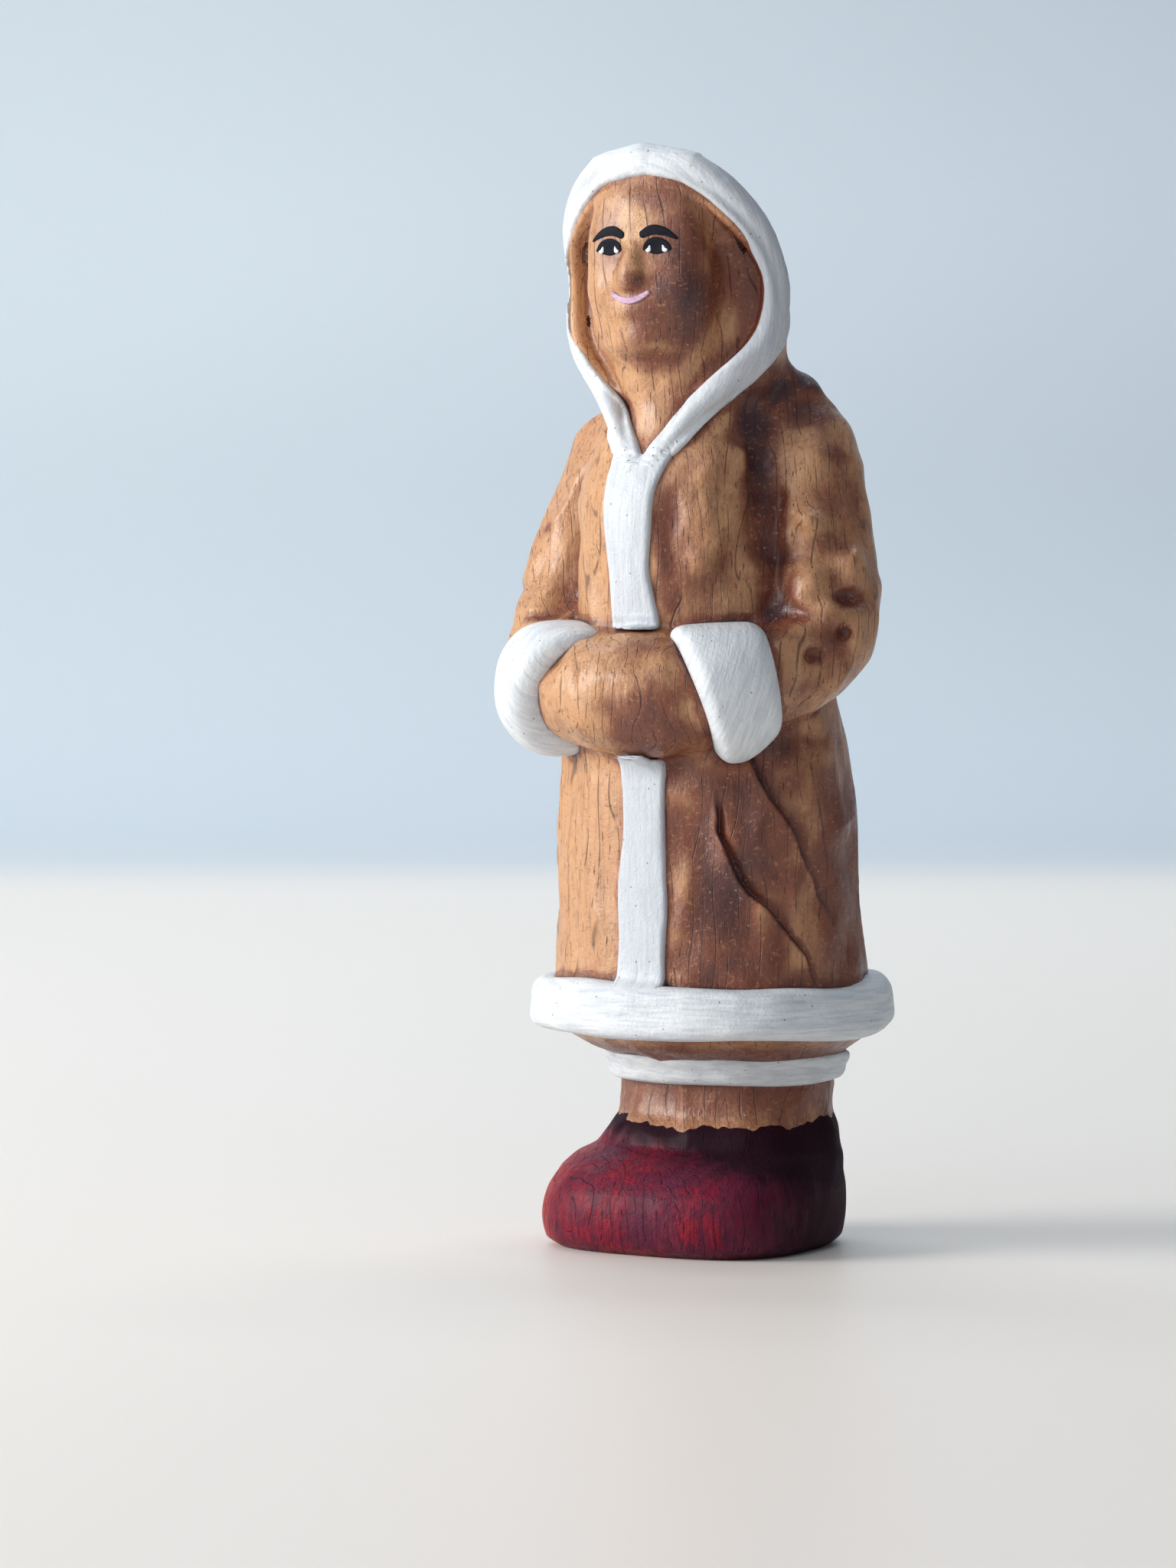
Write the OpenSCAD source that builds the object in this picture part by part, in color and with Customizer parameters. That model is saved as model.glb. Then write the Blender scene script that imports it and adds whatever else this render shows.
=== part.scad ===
// Carved and painted wooden figurine: a standing figure in a hooded, fur-trimmed coat.
// Millimetres, +Z up. The figure faces -Y and its left hand is on +X.
// The origin is on the sole plane, under the middle of the coat.

/* [Figure] */
// Radial height of every raised white trim over the wood
trim_rise = 0.6; // [0.3:0.1:1.0]
// Thickness of the paint strokes on the face
stroke_rise = 0.25; // [0.15:0.05:0.4]

/* [Boots and legs] */
// Half width of the boots
boot_half_w = 14.8; // [13:0.2:15.4]
// How far the toes reach in front of the origin
toe_reach = 15.2; // [13:0.2:16]
// How far the heels reach behind the origin
heel_reach = 13.2; // [12:0.2:14]
// Height of the line where the boots end and the legs begin
boot_top = 12.4; // [11.5:0.1:13]
// Half width of the legs
leg_half_w = 11.5; // [10.5:0.1:12]

/* [Coat] */
// Height of the underside of the fur hem
hem_bottom = 21.8; // [21.4:0.1:22.4]
// Height of the upper edge of the fur hem
hem_top = 27.8; // [27:0.1:28.6]
// Half width of the fur hem
hem_half_w = 19.7; // [19:0.1:20.6]
// Width of the fur strip down the front
placket_w = 5.8; // [4.5:0.1:7]

/* [Arms] */
// Height of the middle of the clasped mittens
hands_z = 58.2; // [57:0.2:59.4]
// Radius of the mittens
mitten_r = 6.3; // [5.8:0.1:6.5]
// Largest radius of each fur cuff
cuff_r = 7.2; // [7:0.1:7.6]
// Length of each fur cuff along the forearm
cuff_len = 8; // [7:0.1:9]

/* [Hood] */
// Half width of the fur edging round the face
trim_r = 1.9; // [1.6:0.1:2.2]

/* [Hidden] */

wood = "peru";
dark_wood = "sienna";
fur = "whitesmoke";
boot_red = "firebrick";
ink = "black";
lip_pink = "pink";

around = 44;       // points in each ring of a loft
ball_fn = 16;      // facets of the balls that the rolls and sleeves are hulled from
tiny_fn = 10;      // facets of the balls in the strokes of face paint
far = 60;          // longer than the whole figure is deep

// ---- curves -------------------------------------------------------------

// Smooth curve through a list of rows [key, value, value, ...], read at any key.
function row_at(rows, i) = rows[max(0, min(len(rows) - 1, i))];
function span(rows, key, i = 0) =
    i >= len(rows) - 2 || key < rows[i + 1][0] ? i : span(rows, key, i + 1);
function hermite(p0, p1, p2, p3, t) =
    0.5 * (2 * p1 + (p2 - p0) * t + (2 * p0 - 5 * p1 + 4 * p2 - p3) * t * t
           + (3 * p1 - p0 - 3 * p2 + p3) * t * t * t);
function curve(rows, key) =
    let (i = span(rows, key),
         t = (key - rows[i][0]) / (rows[i + 1][0] - rows[i][0]),
         a = row_at(rows, i - 1), b = rows[i], c = rows[i + 1], d = row_at(rows, i + 2))
    [for (k = [0 : len(b) - 1]) hermite(a[k], b[k], c[k], d[k], t)];

// A ring is [z, half width, front y, back y, squareness].
function power(v, e) = sign(v) * pow(abs(v), 2 / e);
// With a taper, the ring is wider in front than behind.
function ring_point(s, t, grow = 0, taper = 0) =
    let (mid = (s[2] + s[3]) / 2, deep = (s[3] - s[2]) / 2 + grow, wide = s[1] + grow,
         back = power(sin(t), s[4]))
    [wide * power(cos(t), s[4]) * (1 - taper * back), mid + deep * back, s[0]];
function ring(s, grow = 0, taper = 0) =
    [for (i = [0 : around - 1]) ring_point(s, 360 * i / around, grow, taper)];

// Where a ring's front surface lies at a given x.
function front_y(s, x, grow = 0) =
    let (mid = (s[2] + s[3]) / 2, deep = (s[3] - s[2]) / 2 + grow, wide = s[1] + grow,
         share = min(1, abs(x) / wide))
    mid - deep * pow(1 - pow(share, s[4]), 1 / s[4]);

// Solid through rings, with flat ends.
module loft(rings, layers, grow = 0, taper = 0) {
    z0 = rings[0][0];
    z1 = rings[len(rings) - 1][0];
    skin = [for (k = [0 : layers])
        ring(curve(rings, z0 + (z1 - z0) * k / layers), grow, taper)];
    stack(skin);
}

// Polyhedron through a list of point rings that run counter-clockwise seen from above.
module stack(skin) {
    n = len(skin[0]);
    m = len(skin) - 1;
    points = [for (r = skin) for (p = r) p];
    sides = [for (k = [0 : m - 1]) for (i = [0 : n - 1]) let (j = (i + 1) % n)
        [k * n + i, (k + 1) * n + i, (k + 1) * n + j, k * n + j]];
    floor_face = [for (i = [0 : n - 1]) i];
    roof_face = [for (i = [n - 1 : -1 : 0]) m * n + i];
    polyhedron(points, concat(sides, [floor_face], [roof_face]), convexity = 6);
}

// Closed band round a core: the profile is a list of [outward, z] points, run outside upwards,
// and each ring point of the core is pushed outward by that much.
module band(core, profile) {
    m = len(profile);
    skin = [for (p = profile) ring([p[1], core[1], core[2], core[3], core[4]], p[0])];
    n = around;
    points = [for (r = skin) for (q = r) q];
    faces = [for (k = [0 : m - 1]) for (i = [0 : n - 1])
        let (j = (i + 1) % n, up = (k + 1) % m) [k * n + i, up * n + i, up * n + j, k * n + j]];
    polyhedron(points, faces, convexity = 6);
}

// Half-round outward bulge between two heights over a core, closed along the core's wall.
function roll_profile(z0, z1, rise, steps = 8) =
    concat([for (k = [0 : steps]) let (t = 180 * k / steps)
                [0.25 + rise * pow(sin(t), 0.6), (z0 + z1) / 2 - (z1 - z0) / 2 * cos(t)]],
           [[0, z1], [0, z0]]);

// Balls of changing size joined into one limb. Rows are [key, x, y, z, radius].
module limb(rows, segments, fn = ball_fn) {
    k0 = rows[0][0];
    k1 = rows[len(rows) - 1][0];
    for (k = [0 : segments - 1]) {
        a = curve(rows, k0 + (k1 - k0) * k / segments);
        b = curve(rows, k0 + (k1 - k0) * (k + 1) / segments);
        hull() {
            translate([a[1], a[2], a[3]]) sphere(a[4], $fn = fn);
            translate([b[1], b[2], b[3]]) sphere(b[4], $fn = fn);
        }
    }
}

// ---- driving outlines ---------------------------------------------------

BOOT_RINGS = [
    [0.0, boot_half_w - 1.4, -toe_reach + 1.8, heel_reach - 0.8, 2.8],
    [1.0, boot_half_w - 0.4, -toe_reach + 0.6, heel_reach - 0.1, 2.8],
    [3.4, boot_half_w, -toe_reach, heel_reach + 0.2, 2.8],
    [6.4, boot_half_w - 0.1, -toe_reach + 0.3, heel_reach + 0.2, 2.7],
    [9.0, boot_half_w - 0.8, -toe_reach + 1.6, heel_reach + 0.1, 2.6],
    [10.8, boot_half_w - 1.6, -toe_reach + 3.6, heel_reach, 2.5],
    [11.8, boot_half_w - 2.0, -toe_reach + 5.6, heel_reach, 2.4],
    [boot_top, leg_half_w + 0.6, -7.4, heel_reach - 0.1, 2.3]];
boot_taper = 0.09;    // how much wider the toes are than the heels
boot_shift = -0.8;    // how far the soles stand to the right of the legs
LEG_RINGS = [
    [boot_top, leg_half_w + 0.5, -7.3, heel_reach - 0.2, 2.3],
    [14.4, leg_half_w, -6.5, heel_reach - 0.4, 2.2],
    [16.8, leg_half_w - 0.2, -6.3, heel_reach, 2.2],
    [19.8, leg_half_w, -6.8, heel_reach + 0.2, 2.2]];
LEG_CORE = [0, leg_half_w, -6.5, heel_reach, 2.2];
UNDERSKIRT_RINGS = [
    [19.8, leg_half_w + 1.0, -8.4, heel_reach + 0.8, 2.2],
    [20.6, leg_half_w + 2.6, -10.4, heel_reach + 1.3, 2.2],
    [hem_bottom, leg_half_w + 5.6, -13.2, heel_reach + 2.2, 2.2]];
COAT_RINGS = [
    [hem_bottom, 17.2, -13.6, 14.0, 2.2],
    [hem_top, 17.1, -13.6, 13.8, 2.2],
    [36, 16.5, -13.4, 12.6, 2.2],
    [48, 16.2, -13.3, 11.2, 2.2],
    [56, 15.0, -13.2, 10.6, 2.2],
    [64, 14.2, -14.2, 10.4, 2.2],
    [72, 13.8, -15.1, 10.4, 2.3],
    [78, 13.0, -15.2, 10.4, 2.3],
    [83, 11.6, -13.4, 10.4, 2.3],
    [87, 10.2, -11.2, 10.0, 2.3],
    [90, 8.8, -9.8, 8.8, 2.2],
    [92, 6.8, -8.0, 6.8, 2.2],
    [93.4, 3.6, -5.0, 4.0, 2.2]];
HEM_CORE = [0, 17.0, -13.4, 13.8, 2.2];
ARM_ROWS = [ // key, x, y, z, radius, from the shoulder to the wrist
    [0, 8.4, 2.2, 85.4, 5.0],
    [1, 11.2, 1.4, 82.8, 5.5],
    [2, 12.7, 0.4, 77.8, 5.9],
    [3, 14.4, -0.6, 71.8, 6.0],
    [4, 15.5, -1.8, 66.6, 6.0],
    [5, 14.9, -4.6, 63.0, 5.9],
    [6, 12.2, -8.2, 60.6, 5.7],
    [7, 8.4, -12.6, 59.0, 5.2]];
HOOD_RINGS = [
    [84.5, 7.0, -9.6, 7.6, 2.2],
    [88, 9.2, -11.0, 7.0, 2.2],
    [91, 10.6, -11.8, 4.8, 2.3],
    [94, 11.8, -12.6, 2.4, 2.5],
    [97.5, 12.5, -13.1, 1.7, 2.7],
    [101.5, 12.3, -13.9, 0.4, 2.6],
    [105, 11.5, -14.3, -0.9, 2.4],
    [109, 9.6, -14.5, -2.2, 2.3],
    [112, 6.9, -14.3, -4.1, 2.2],
    [114, 4.0, -13.6, -6.8, 2.1],
    [115, 1.6, -12.6, -9.4, 2.0]];
OPENING = [ // height, half width of the face opening, y of its rim
    [82.4, 0.1, -13.5], [85.3, 1.8, -12.7], [88.6, 4.2, -11.6], [91, 6.9, -10.4],
    [93.5, 9.6, -9.4], [96, 11.1, -8.7], [99, 11.6, -8.4], [102, 11.3, -8.9],
    [105.5, 9.8, -10.9], [108.6, 7.4, -12.9], [110.4, 4.4, -14.2], [111.1, 0.1, -14.7]];
FACE_RINGS = [
    [86.5, 3.6, -12.2, -4, 2.2],
    [89.5, 4.4, -11.6, -4, 2.2],
    [92.2, 5.2, -12.8, -4, 2.2],
    [94.2, 5.9, -14.5, -4, 2.3],
    [98, 6.9, -15.4, -4, 2.4],
    [102, 7.2, -15.6, -4, 2.5],
    [106, 7.0, -15.4, -4, 2.4],
    [109, 6.2, -14.9, -4, 2.4],
    [111, 5.0, -14.0, -4, 2.4]];
dish_y = -7.6;         // depth of the hollow round the face
backing_y = -4.5;      // where the head piece ends inside the hood

// ---- shared shapes ------------------------------------------------------

module coat_volume(grow = 0) { loft(COAT_RINGS, 26, grow); }
module hood_volume(grow = 0) { loft(HOOD_RINGS, 16, grow); }
module face_volume(grow = 0) { loft(FACE_RINGS, 14, grow); }

// Everything in front of backing_y and inside the rim of the face opening.
module opening_prism(y_back = backing_y) {
    z0 = OPENING[0][0];
    z1 = OPENING[len(OPENING) - 1][0];
    steps = 22;
    half = [for (k = [0 : steps]) let (z = z0 + (z1 - z0) * k / steps)
        [max(0.05, curve(OPENING, z)[1]), z]];
    outline = concat(half, [for (k = [steps : -1 : 0]) [-half[k][0], half[k][1]]]);
    translate([0, y_back, 0]) rotate([90, 0, 0]) linear_extrude(far / 2) polygon(outline);
}

// The fur edging follows the rim of the opening, a little outside it and behind it.
module edging_path(side) {
    z0 = OPENING[0][0];
    z1 = OPENING[len(OPENING) - 1][0];
    steps = 16;
    rows = [for (k = [0 : steps])
        let (s = k / steps,
             z = z0 + (z1 - z0) * (s - 0.11 * sin(360 * s)),
             rim = curve(OPENING, z),
             low = max(0, min(1, (94 - z) / 8)), high = max(0, min(1, (z - 102) / 8)))
        [k, side * (rim[1] + trim_r * (0.25 + 0.55 * low + 0.4 * sin(180 * high))),
            rim[2] + trim_r * (1 - low) * (1 - 0.35 * high),
            z + trim_r * (high - 0.55 * low), trim_r * (1 - 0.1 * low)]];
    limb(rows, steps, 12);
}

module edging_limbs() {
    edging_path(1);
    edging_path(-1);
}

module fur_edging() {
    intersection() {
        edging_limbs();
        union() {
            hood_volume(trim_rise);
            coat_volume(trim_rise);
        }
    }
}

module sleeve_limb(side) {
    translate([-0.4, 0, 0]) mirror([side < 0 ? 1 : 0, 0, 0]) limb(ARM_ROWS, 9);
}

// Fur cuff: a swelling drum round the forearm, from its back edge to its mouth. Its mouth
// is cut on the slant, so the lower edge lies further up the arm.
cuff_mouth = [7.2, -14.9];
cuff_turn = 40;     // heading of the forearm, from -X towards -Y
module cuff_solid(side) {
    steps = 10;
    half = around / 2;
    ahead = [-cos(cuff_turn), -sin(cuff_turn), 0];
    across = [sin(cuff_turn), -cos(cuff_turn), 0];
    rings = [for (k = [-1 : steps + 1]) let (s = min(1, max(0, k / steps)),
             edge = k < 0 || k > steps ? 0.7 : 0,
             r = cuff_r - 1.1 + 1.1 * pow(sin(180 * s), 0.6) - edge,
             slant = 14 + 12 * s,
             up = [ahead[0] * tan(slant), ahead[1] * tan(slant), 1],
             middle = [cuff_mouth[0], cuff_mouth[1], hands_z + 1.4 * (1 - s)]
                      - ahead * cuff_len * (1 - s) + ahead * (k < 0 ? -0.3 : k > steps ? 0.3 : 0))
        [for (i = [0 : half - 1]) let (t = 360 * i / half)
            middle + r * cos(t) * across + r * sin(t) * up]];
    mirror([side < 0 ? 1 : 0, 0, 0]) stack(rings);
}

module mittens_limb() {
    limb([[0, -5.4, -14.2, hands_z + 0.1, mitten_r - 0.6], [1, -2.6, -14.9, hands_z, mitten_r],
          [2, 0, -15.1, hands_z - 0.1, mitten_r + 0.1], [3, 2.6, -14.9, hands_z, mitten_r],
          [4, 5.4, -14.2, hands_z + 0.1, mitten_r - 0.6]], 8);
}

// Strip of fur that follows the coat's front between two heights.
module front_strip(z0, z1, w0, w1, x0 = 0, x1 = 0) {
    intersection() {
        difference() {
            coat_volume(trim_rise);
            coat_volume(-0.5);
        }
        hull() {
            translate([x0, -far / 2, z0 + 0.5]) cube([w0, far, 1], center = true);
            translate([x1, -far / 2, z1 - 0.5]) cube([w1, far, 1], center = true);
        }
    }
}

module lower_strip() { front_strip(hem_top - 0.6, 52.4, placket_w, placket_w); }
module upper_strip() {
    front_strip(63.6, 83.8, placket_w - 0.8, placket_w + 0.8, -0.2, -0.5);
}

module arms() {
    for (side = [-1, 1]) {
        sleeve_limb(side);
        cuff_solid(side);
    }
}

// One stroke of paint: a thin coat over the skin of the face, inside a line drawn through
// rows of [key, x, z, half width].
module stroke(rows, segments) {
    k0 = rows[0][0];
    k1 = rows[len(rows) - 1][0];
    intersection() {
        difference() {
            face_volume(stroke_rise);
            face_volume();
            nose();
        }
        translate([0, -8, 0]) rotate([90, 0, 0]) linear_extrude(far / 4)
            for (k = [0 : segments - 1]) {
                a = curve(rows, k0 + (k1 - k0) * k / segments);
                b = curve(rows, k0 + (k1 - k0) * (k + 1) / segments);
                hull() {
                    translate([a[1], a[2]]) circle(a[3], $fn = tiny_fn);
                    translate([b[1], b[2]]) circle(b[3], $fn = tiny_fn);
                }
            }
    }
}

module nose() {
    hull() {
        translate([0, -14.9, 103.4]) sphere(1.0, $fn = ball_fn);
        translate([0, -15.7, 100.7]) sphere(1.3, $fn = ball_fn);
    }
}

// ---- the pieces ---------------------------------------------------------

// The block of both boots, leaning back over the legs from its sole upwards.
module boot_block() {
    steps = 16;
    stack([for (k = [0 : steps]) let (z = boot_top * k / steps)
        [for (p = ring(curve(BOOT_RINGS, z), 0, boot_taper))
            p + [boot_shift * (1 - z / boot_top), 0, 0]]]);
}

module boots() {
    color(boot_red) intersection() {
        boot_block();
        translate([-far / 2, -far / 2, 0]) cube([far, far, boot_top]);
    }
}

module legs() { color(wood) loft(LEG_RINGS, 6); }

module underskirt_band() {
    color(fur) difference() {
        band(LEG_CORE, roll_profile(16.7, 19.8, trim_rise + 0.7));
        legs();
    }
}

module underskirt() { color(dark_wood) loft(UNDERSKIRT_RINGS, 4); }

module hem_band() { color(fur) band(HEM_CORE, roll_profile(hem_bottom, hem_top, hem_half_w - HEM_CORE[1] - 0.25)); }

// A fold carved into the left side of the skirt: rows are [key, angle round the coat, z].
module fold(rows) {
    placed = [for (r = rows)
        let (p = ring_point(curve(COAT_RINGS, r[2]), r[1], 0.7)) [r[0], p[0], p[1], p[2], 1.3]];
    limb(placed, 6, 8);
}

module folds() {
    fold([[0, -60, 47], [1, -54, 41.5], [2, -45, 37.2], [3, -32, 35.2], [4, -22, 30]]);
    fold([[0, -48, 50.4], [1, -37, 47.4], [2, -29, 44], [3, -21, 40], [4, -9, 35.5]]);
}

module coat() {
    color(wood) difference() {
        coat_volume();
        folds();
        lower_strip();
        upper_strip();
        hem_band();
        arms();
        mittens_limb();
        edging_limbs();
        opening_prism();
        hood_volume();
    }
}

module lower_placket() {
    color(fur) difference() {
        lower_strip();
        hem_band();
        arms();
        mittens_limb();
    }
}

module upper_placket() {
    color(fur) difference() {
        upper_strip();
        arms();
        mittens_limb();
        edging_limbs();
        opening_prism();
    }
}

module sleeve(side) {
    difference() {
        sleeve_limb(side);
        cuff_solid(side);
        mittens_limb();
        edging_limbs();
        hood_volume();
    }
}

module left_sleeve() { color(wood) sleeve(1); }
module right_sleeve() { color(wood) sleeve(-1); }

module left_cuff() { color(fur) cuff_solid(1); }
module right_cuff() { color(fur) cuff_solid(-1); }

module mittens() {
    color(dark_wood) difference() {
        mittens_limb();
        cuff_solid(1);
        cuff_solid(-1);
    }
}

module hood() {
    color(dark_wood) difference() {
        hood_volume();
        opening_prism();
        edging_limbs();
    }
}

module hood_trim() { color(fur) fur_edging(); }

module head() {
    color(wood) difference() {
        intersection() {
            opening_prism();
            union() {
                face_volume();
                nose();
                intersection() {
                    union() {
                        hood_volume(-0.6);
                        coat_volume(-0.4);
                    }
                    translate([-far / 2, dish_y, 70]) cube([far, far, far]);
                }
                intersection() {
                    coat_volume(-0.4);
                    translate([-far / 2, -far / 2, 70]) cube([far, far, 18]);
                }
            }
        }
        edging_limbs();
    }
}

module eyebrow(side) {
    stroke([[0, side * 1.3, 105.4, 0.32], [1, side * 2.9, 105.9, 0.4],
            [2, side * 4.7, 105.1, 0.22]], 8);
}

module eye(side) {
    stroke([[0, side * 1.8, 103.6, 0.3], [1, side * 2.8, 103.8, 0.62],
            [2, side * 3.9, 103.6, 0.3]], 8);
}

module eye_whites(side) {
    for (x = [1.1, 4.4]) stroke([[0, side * x, 103.3, 0.16],
        [1, side * (x + 0.15), 103.45, 0.22], [2, side * (x + 0.3), 103.3, 0.16]], 4);
}

module left_eyebrow() { color(ink) eyebrow(1); }
module right_eyebrow() { color(ink) eyebrow(-1); }
module left_eye() { color(ink) eye(1); }
module right_eye() { color(ink) eye(-1); }
module left_eye_whites() { color(fur) eye_whites(1); }
module right_eye_whites() { color(fur) eye_whites(-1); }

module mouth() {
    color(lip_pink) stroke([[0, -2.2, 98.9, 0.22], [1, -1.2, 98.3, 0.34], [2, -0.1, 98.1, 0.36],
        [3, 1.0, 98.3, 0.34], [4, 2.0, 98.9, 0.22]], 8);
}

boots();
legs();
underskirt_band();
underskirt();
hem_band();
coat();
lower_placket();
upper_placket();
left_sleeve();
right_sleeve();
left_cuff();
right_cuff();
mittens();
hood();
hood_trim();
head();
left_eyebrow();
right_eyebrow();
left_eye();
right_eye();
left_eye_whites();
right_eye_whites();
mouth();
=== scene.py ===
"""Carved and painted wooden figurine on a pale table.

The wood is one distance field, carved in layers, meshed once and then divided along its
natural creases, so the grain runs through the pieces without a seam. The painted trims and
the strokes of face paint are closed solids of their own, laid on the wood.
Shapes are worked out in millimetres in the CAD frame: x to the figure's left, y to its back,
z up. They are written out in metres. A field is below 0 inside its piece.
"""
import math
from itertools import product

import bpy
import numpy as np
from mathutils import Matrix, Vector


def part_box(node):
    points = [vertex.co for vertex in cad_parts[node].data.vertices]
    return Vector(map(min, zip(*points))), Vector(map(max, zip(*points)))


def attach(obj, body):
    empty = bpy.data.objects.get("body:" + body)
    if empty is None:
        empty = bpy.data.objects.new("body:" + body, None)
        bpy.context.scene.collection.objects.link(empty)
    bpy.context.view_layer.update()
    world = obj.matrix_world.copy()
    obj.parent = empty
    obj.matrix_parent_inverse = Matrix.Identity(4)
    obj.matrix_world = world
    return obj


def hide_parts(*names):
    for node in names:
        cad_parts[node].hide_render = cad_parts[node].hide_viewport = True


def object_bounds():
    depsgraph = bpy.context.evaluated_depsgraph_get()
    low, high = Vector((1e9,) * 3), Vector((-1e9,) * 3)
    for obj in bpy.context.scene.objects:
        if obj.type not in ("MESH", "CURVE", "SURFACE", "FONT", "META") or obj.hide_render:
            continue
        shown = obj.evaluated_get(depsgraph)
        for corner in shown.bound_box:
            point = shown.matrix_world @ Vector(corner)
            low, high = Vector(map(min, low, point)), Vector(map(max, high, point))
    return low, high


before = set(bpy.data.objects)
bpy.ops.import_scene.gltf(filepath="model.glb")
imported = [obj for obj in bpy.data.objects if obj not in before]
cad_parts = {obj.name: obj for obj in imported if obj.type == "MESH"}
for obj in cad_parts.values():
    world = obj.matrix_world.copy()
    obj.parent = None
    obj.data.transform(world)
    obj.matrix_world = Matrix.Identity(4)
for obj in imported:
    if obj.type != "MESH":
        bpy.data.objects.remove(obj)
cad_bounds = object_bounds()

STEP = 0.28          # voxel of the main field
FINE = 0.1           # voxel of the face paint
FAR = np.float32(9.0)                       # a field's value away from its piece


# ---- places, from the CAD ---------------------------------------------------

def extent(node):
    """A CAD node's lowest and highest corners, in millimetres."""
    lo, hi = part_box(node)
    return np.array(lo) * 1000.0, np.array(hi) * 1000.0


LO, HI = (np.array(v) * 1000.0 for v in cad_bounds)
BOOT_TOP = extent("boots")[1][2]
BOOT_LINE = BOOT_TOP + 0.8
HEM = extent("hem_band")
HEM_LO, HEM_HI = HEM[0][2] + 1.0, HEM[1][2] + 0.5
HEM_HALF = (HEM[1][0] - HEM[0][0]) / 2
HEM_MID_Y = (HEM[1][1] + HEM[0][1]) / 2
BAND_LO, BAND_HI = (extent("underskirt_band")[k][2] + 0.55 for k in (0, 1))
LEG_HALF = (extent("legs")[1][0] - extent("legs")[0][0]) / 2 - 0.5
LEG_BACK = extent("legs")[1][1] - 0.2
HANDS_Z = (extent("mittens")[0][2] + extent("mittens")[1][2]) / 2 + 0.1
HANDS_Y = extent("mittens")[0][1]
CROWN = extent("hood")[1][2]
CHIN_V = extent("head")[0][2]
RIM_TOP = extent("head")[1][2]
NOSE_Y = extent("head")[0][1]
TOE_Y = extent("boots")[0][1]
HEEL_Y = extent("boots")[1][1] - 0.2
BROW_Z = (extent("left_eyebrow")[0][2] + extent("left_eyebrow")[1][2]) / 2
EYE_Z = (extent("left_eye")[0][2] + extent("left_eye")[1][2]) / 2
EYE_X = (extent("left_eye")[0][0] + extent("left_eye")[1][0]) / 2
MOUTH_Z = extent("mouth")[0][2] + 0.35


# ---- distance fields --------------------------------------------------------

def curve(rows, keys):
    """Smooth curve through rows of [key, value, ...], read at an array of keys."""
    rows = np.asarray(rows, float)
    keys = np.clip(np.atleast_1d(keys), rows[0, 0], rows[-1, 0])
    i = np.clip(np.searchsorted(rows[:, 0], keys, side="right") - 1, 0, len(rows) - 2)
    t = ((keys - rows[i, 0]) / (rows[i + 1, 0] - rows[i, 0]))[:, None]
    a, b = rows[np.maximum(i - 1, 0), 1:], rows[i, 1:]
    c, d = rows[i + 1, 1:], rows[np.minimum(i + 2, len(rows) - 1), 1:]
    return 0.5 * (2 * b + (c - a) * t + (2 * a - 5 * b + 4 * c - d) * t ** 2
                  + (3 * b - a - 3 * c + d) * t ** 3)


def smin(a, b, k):
    """The lower of two fields, with a rounded join k wide."""
    h = np.clip(0.5 + 0.5 * (b - a) / k, 0.0, 1.0)
    return b + (a - b) * h - k * h * (1.0 - h)


def smax(a, b, k):
    return -smin(-a, -b, k)


def smooth01(v, lo, hi):
    """Rises smoothly from 0 at lo to 1 at hi."""
    t = np.clip((v - lo) / (hi - lo), 0.0, 1.0)
    return t * t * (3.0 - 2.0 * t)


CORNERS = list(product((0, 1), repeat=3))


def window(v, a, b, c, d):
    """Rises from a to b, and falls from c to d."""
    return smooth01(v, a, b) * (1 - smooth01(v, c, d))


class Grid:
    """A block of sample points, with broadcastable coordinates."""

    def __init__(self, lo, hi, step):
        self.lo, self.step = np.asarray(lo, float), step
        self.n = np.ceil((np.asarray(hi, float) - self.lo) / step).astype(int) + 1
        self.axes = [(self.lo[a] + step * np.arange(self.n[a])).astype(np.float32)
                     for a in range(3)]
        self.X = self.axes[0][:, None, None]
        self.Y = self.axes[1][None, :, None]
        self.Z = self.axes[2][None, None, :]

    def new(self, value=FAR):
        return np.full(self.n, value, np.float32)

    def filled(self, cut, values):
        """A field that holds values in the block cut, and FAR outside it."""
        field = self.new()
        field[cut] = values
        return field

    def part(self, lo, hi):
        """The block of samples between two corners, and its coordinates."""
        cut = []
        for a in range(3):
            i0 = int(np.clip(np.floor((lo[a] - self.lo[a]) / self.step), 0, self.n[a] - 2))
            i1 = int(np.clip(np.ceil((hi[a] - self.lo[a]) / self.step) + 1, i0 + 2, self.n[a]))
            cut.append(slice(i0, i1))
        cut = tuple(cut)
        return cut, self.X[cut[0]], self.Y[:, cut[1]], self.Z[:, :, cut[2]]

    def sample(self, field, p):
        """Trilinear value of the field at points."""
        q = (p - self.lo) / self.step
        i = np.clip(np.floor(q).astype(np.int64), 0, self.n - 2)
        t = (q - i).astype(np.float32)
        out = np.zeros(len(p), np.float32)
        for corner in CORNERS:
            wx, wy, wz = (t[:, a] if corner[a] else 1 - t[:, a] for a in range(3))
            out += wx * wy * wz * field[tuple((i + corner).T)]
        return out

    def slope(self, field, p):
        """Gradient of the field at points."""
        g = np.empty_like(p)
        for a in range(3):
            e = np.zeros(3)
            e[a] = self.step * 0.75
            g[:, a] = (self.sample(field, p + e) - self.sample(field, p - e)) / (1.5 * self.step)
        return g


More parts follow.
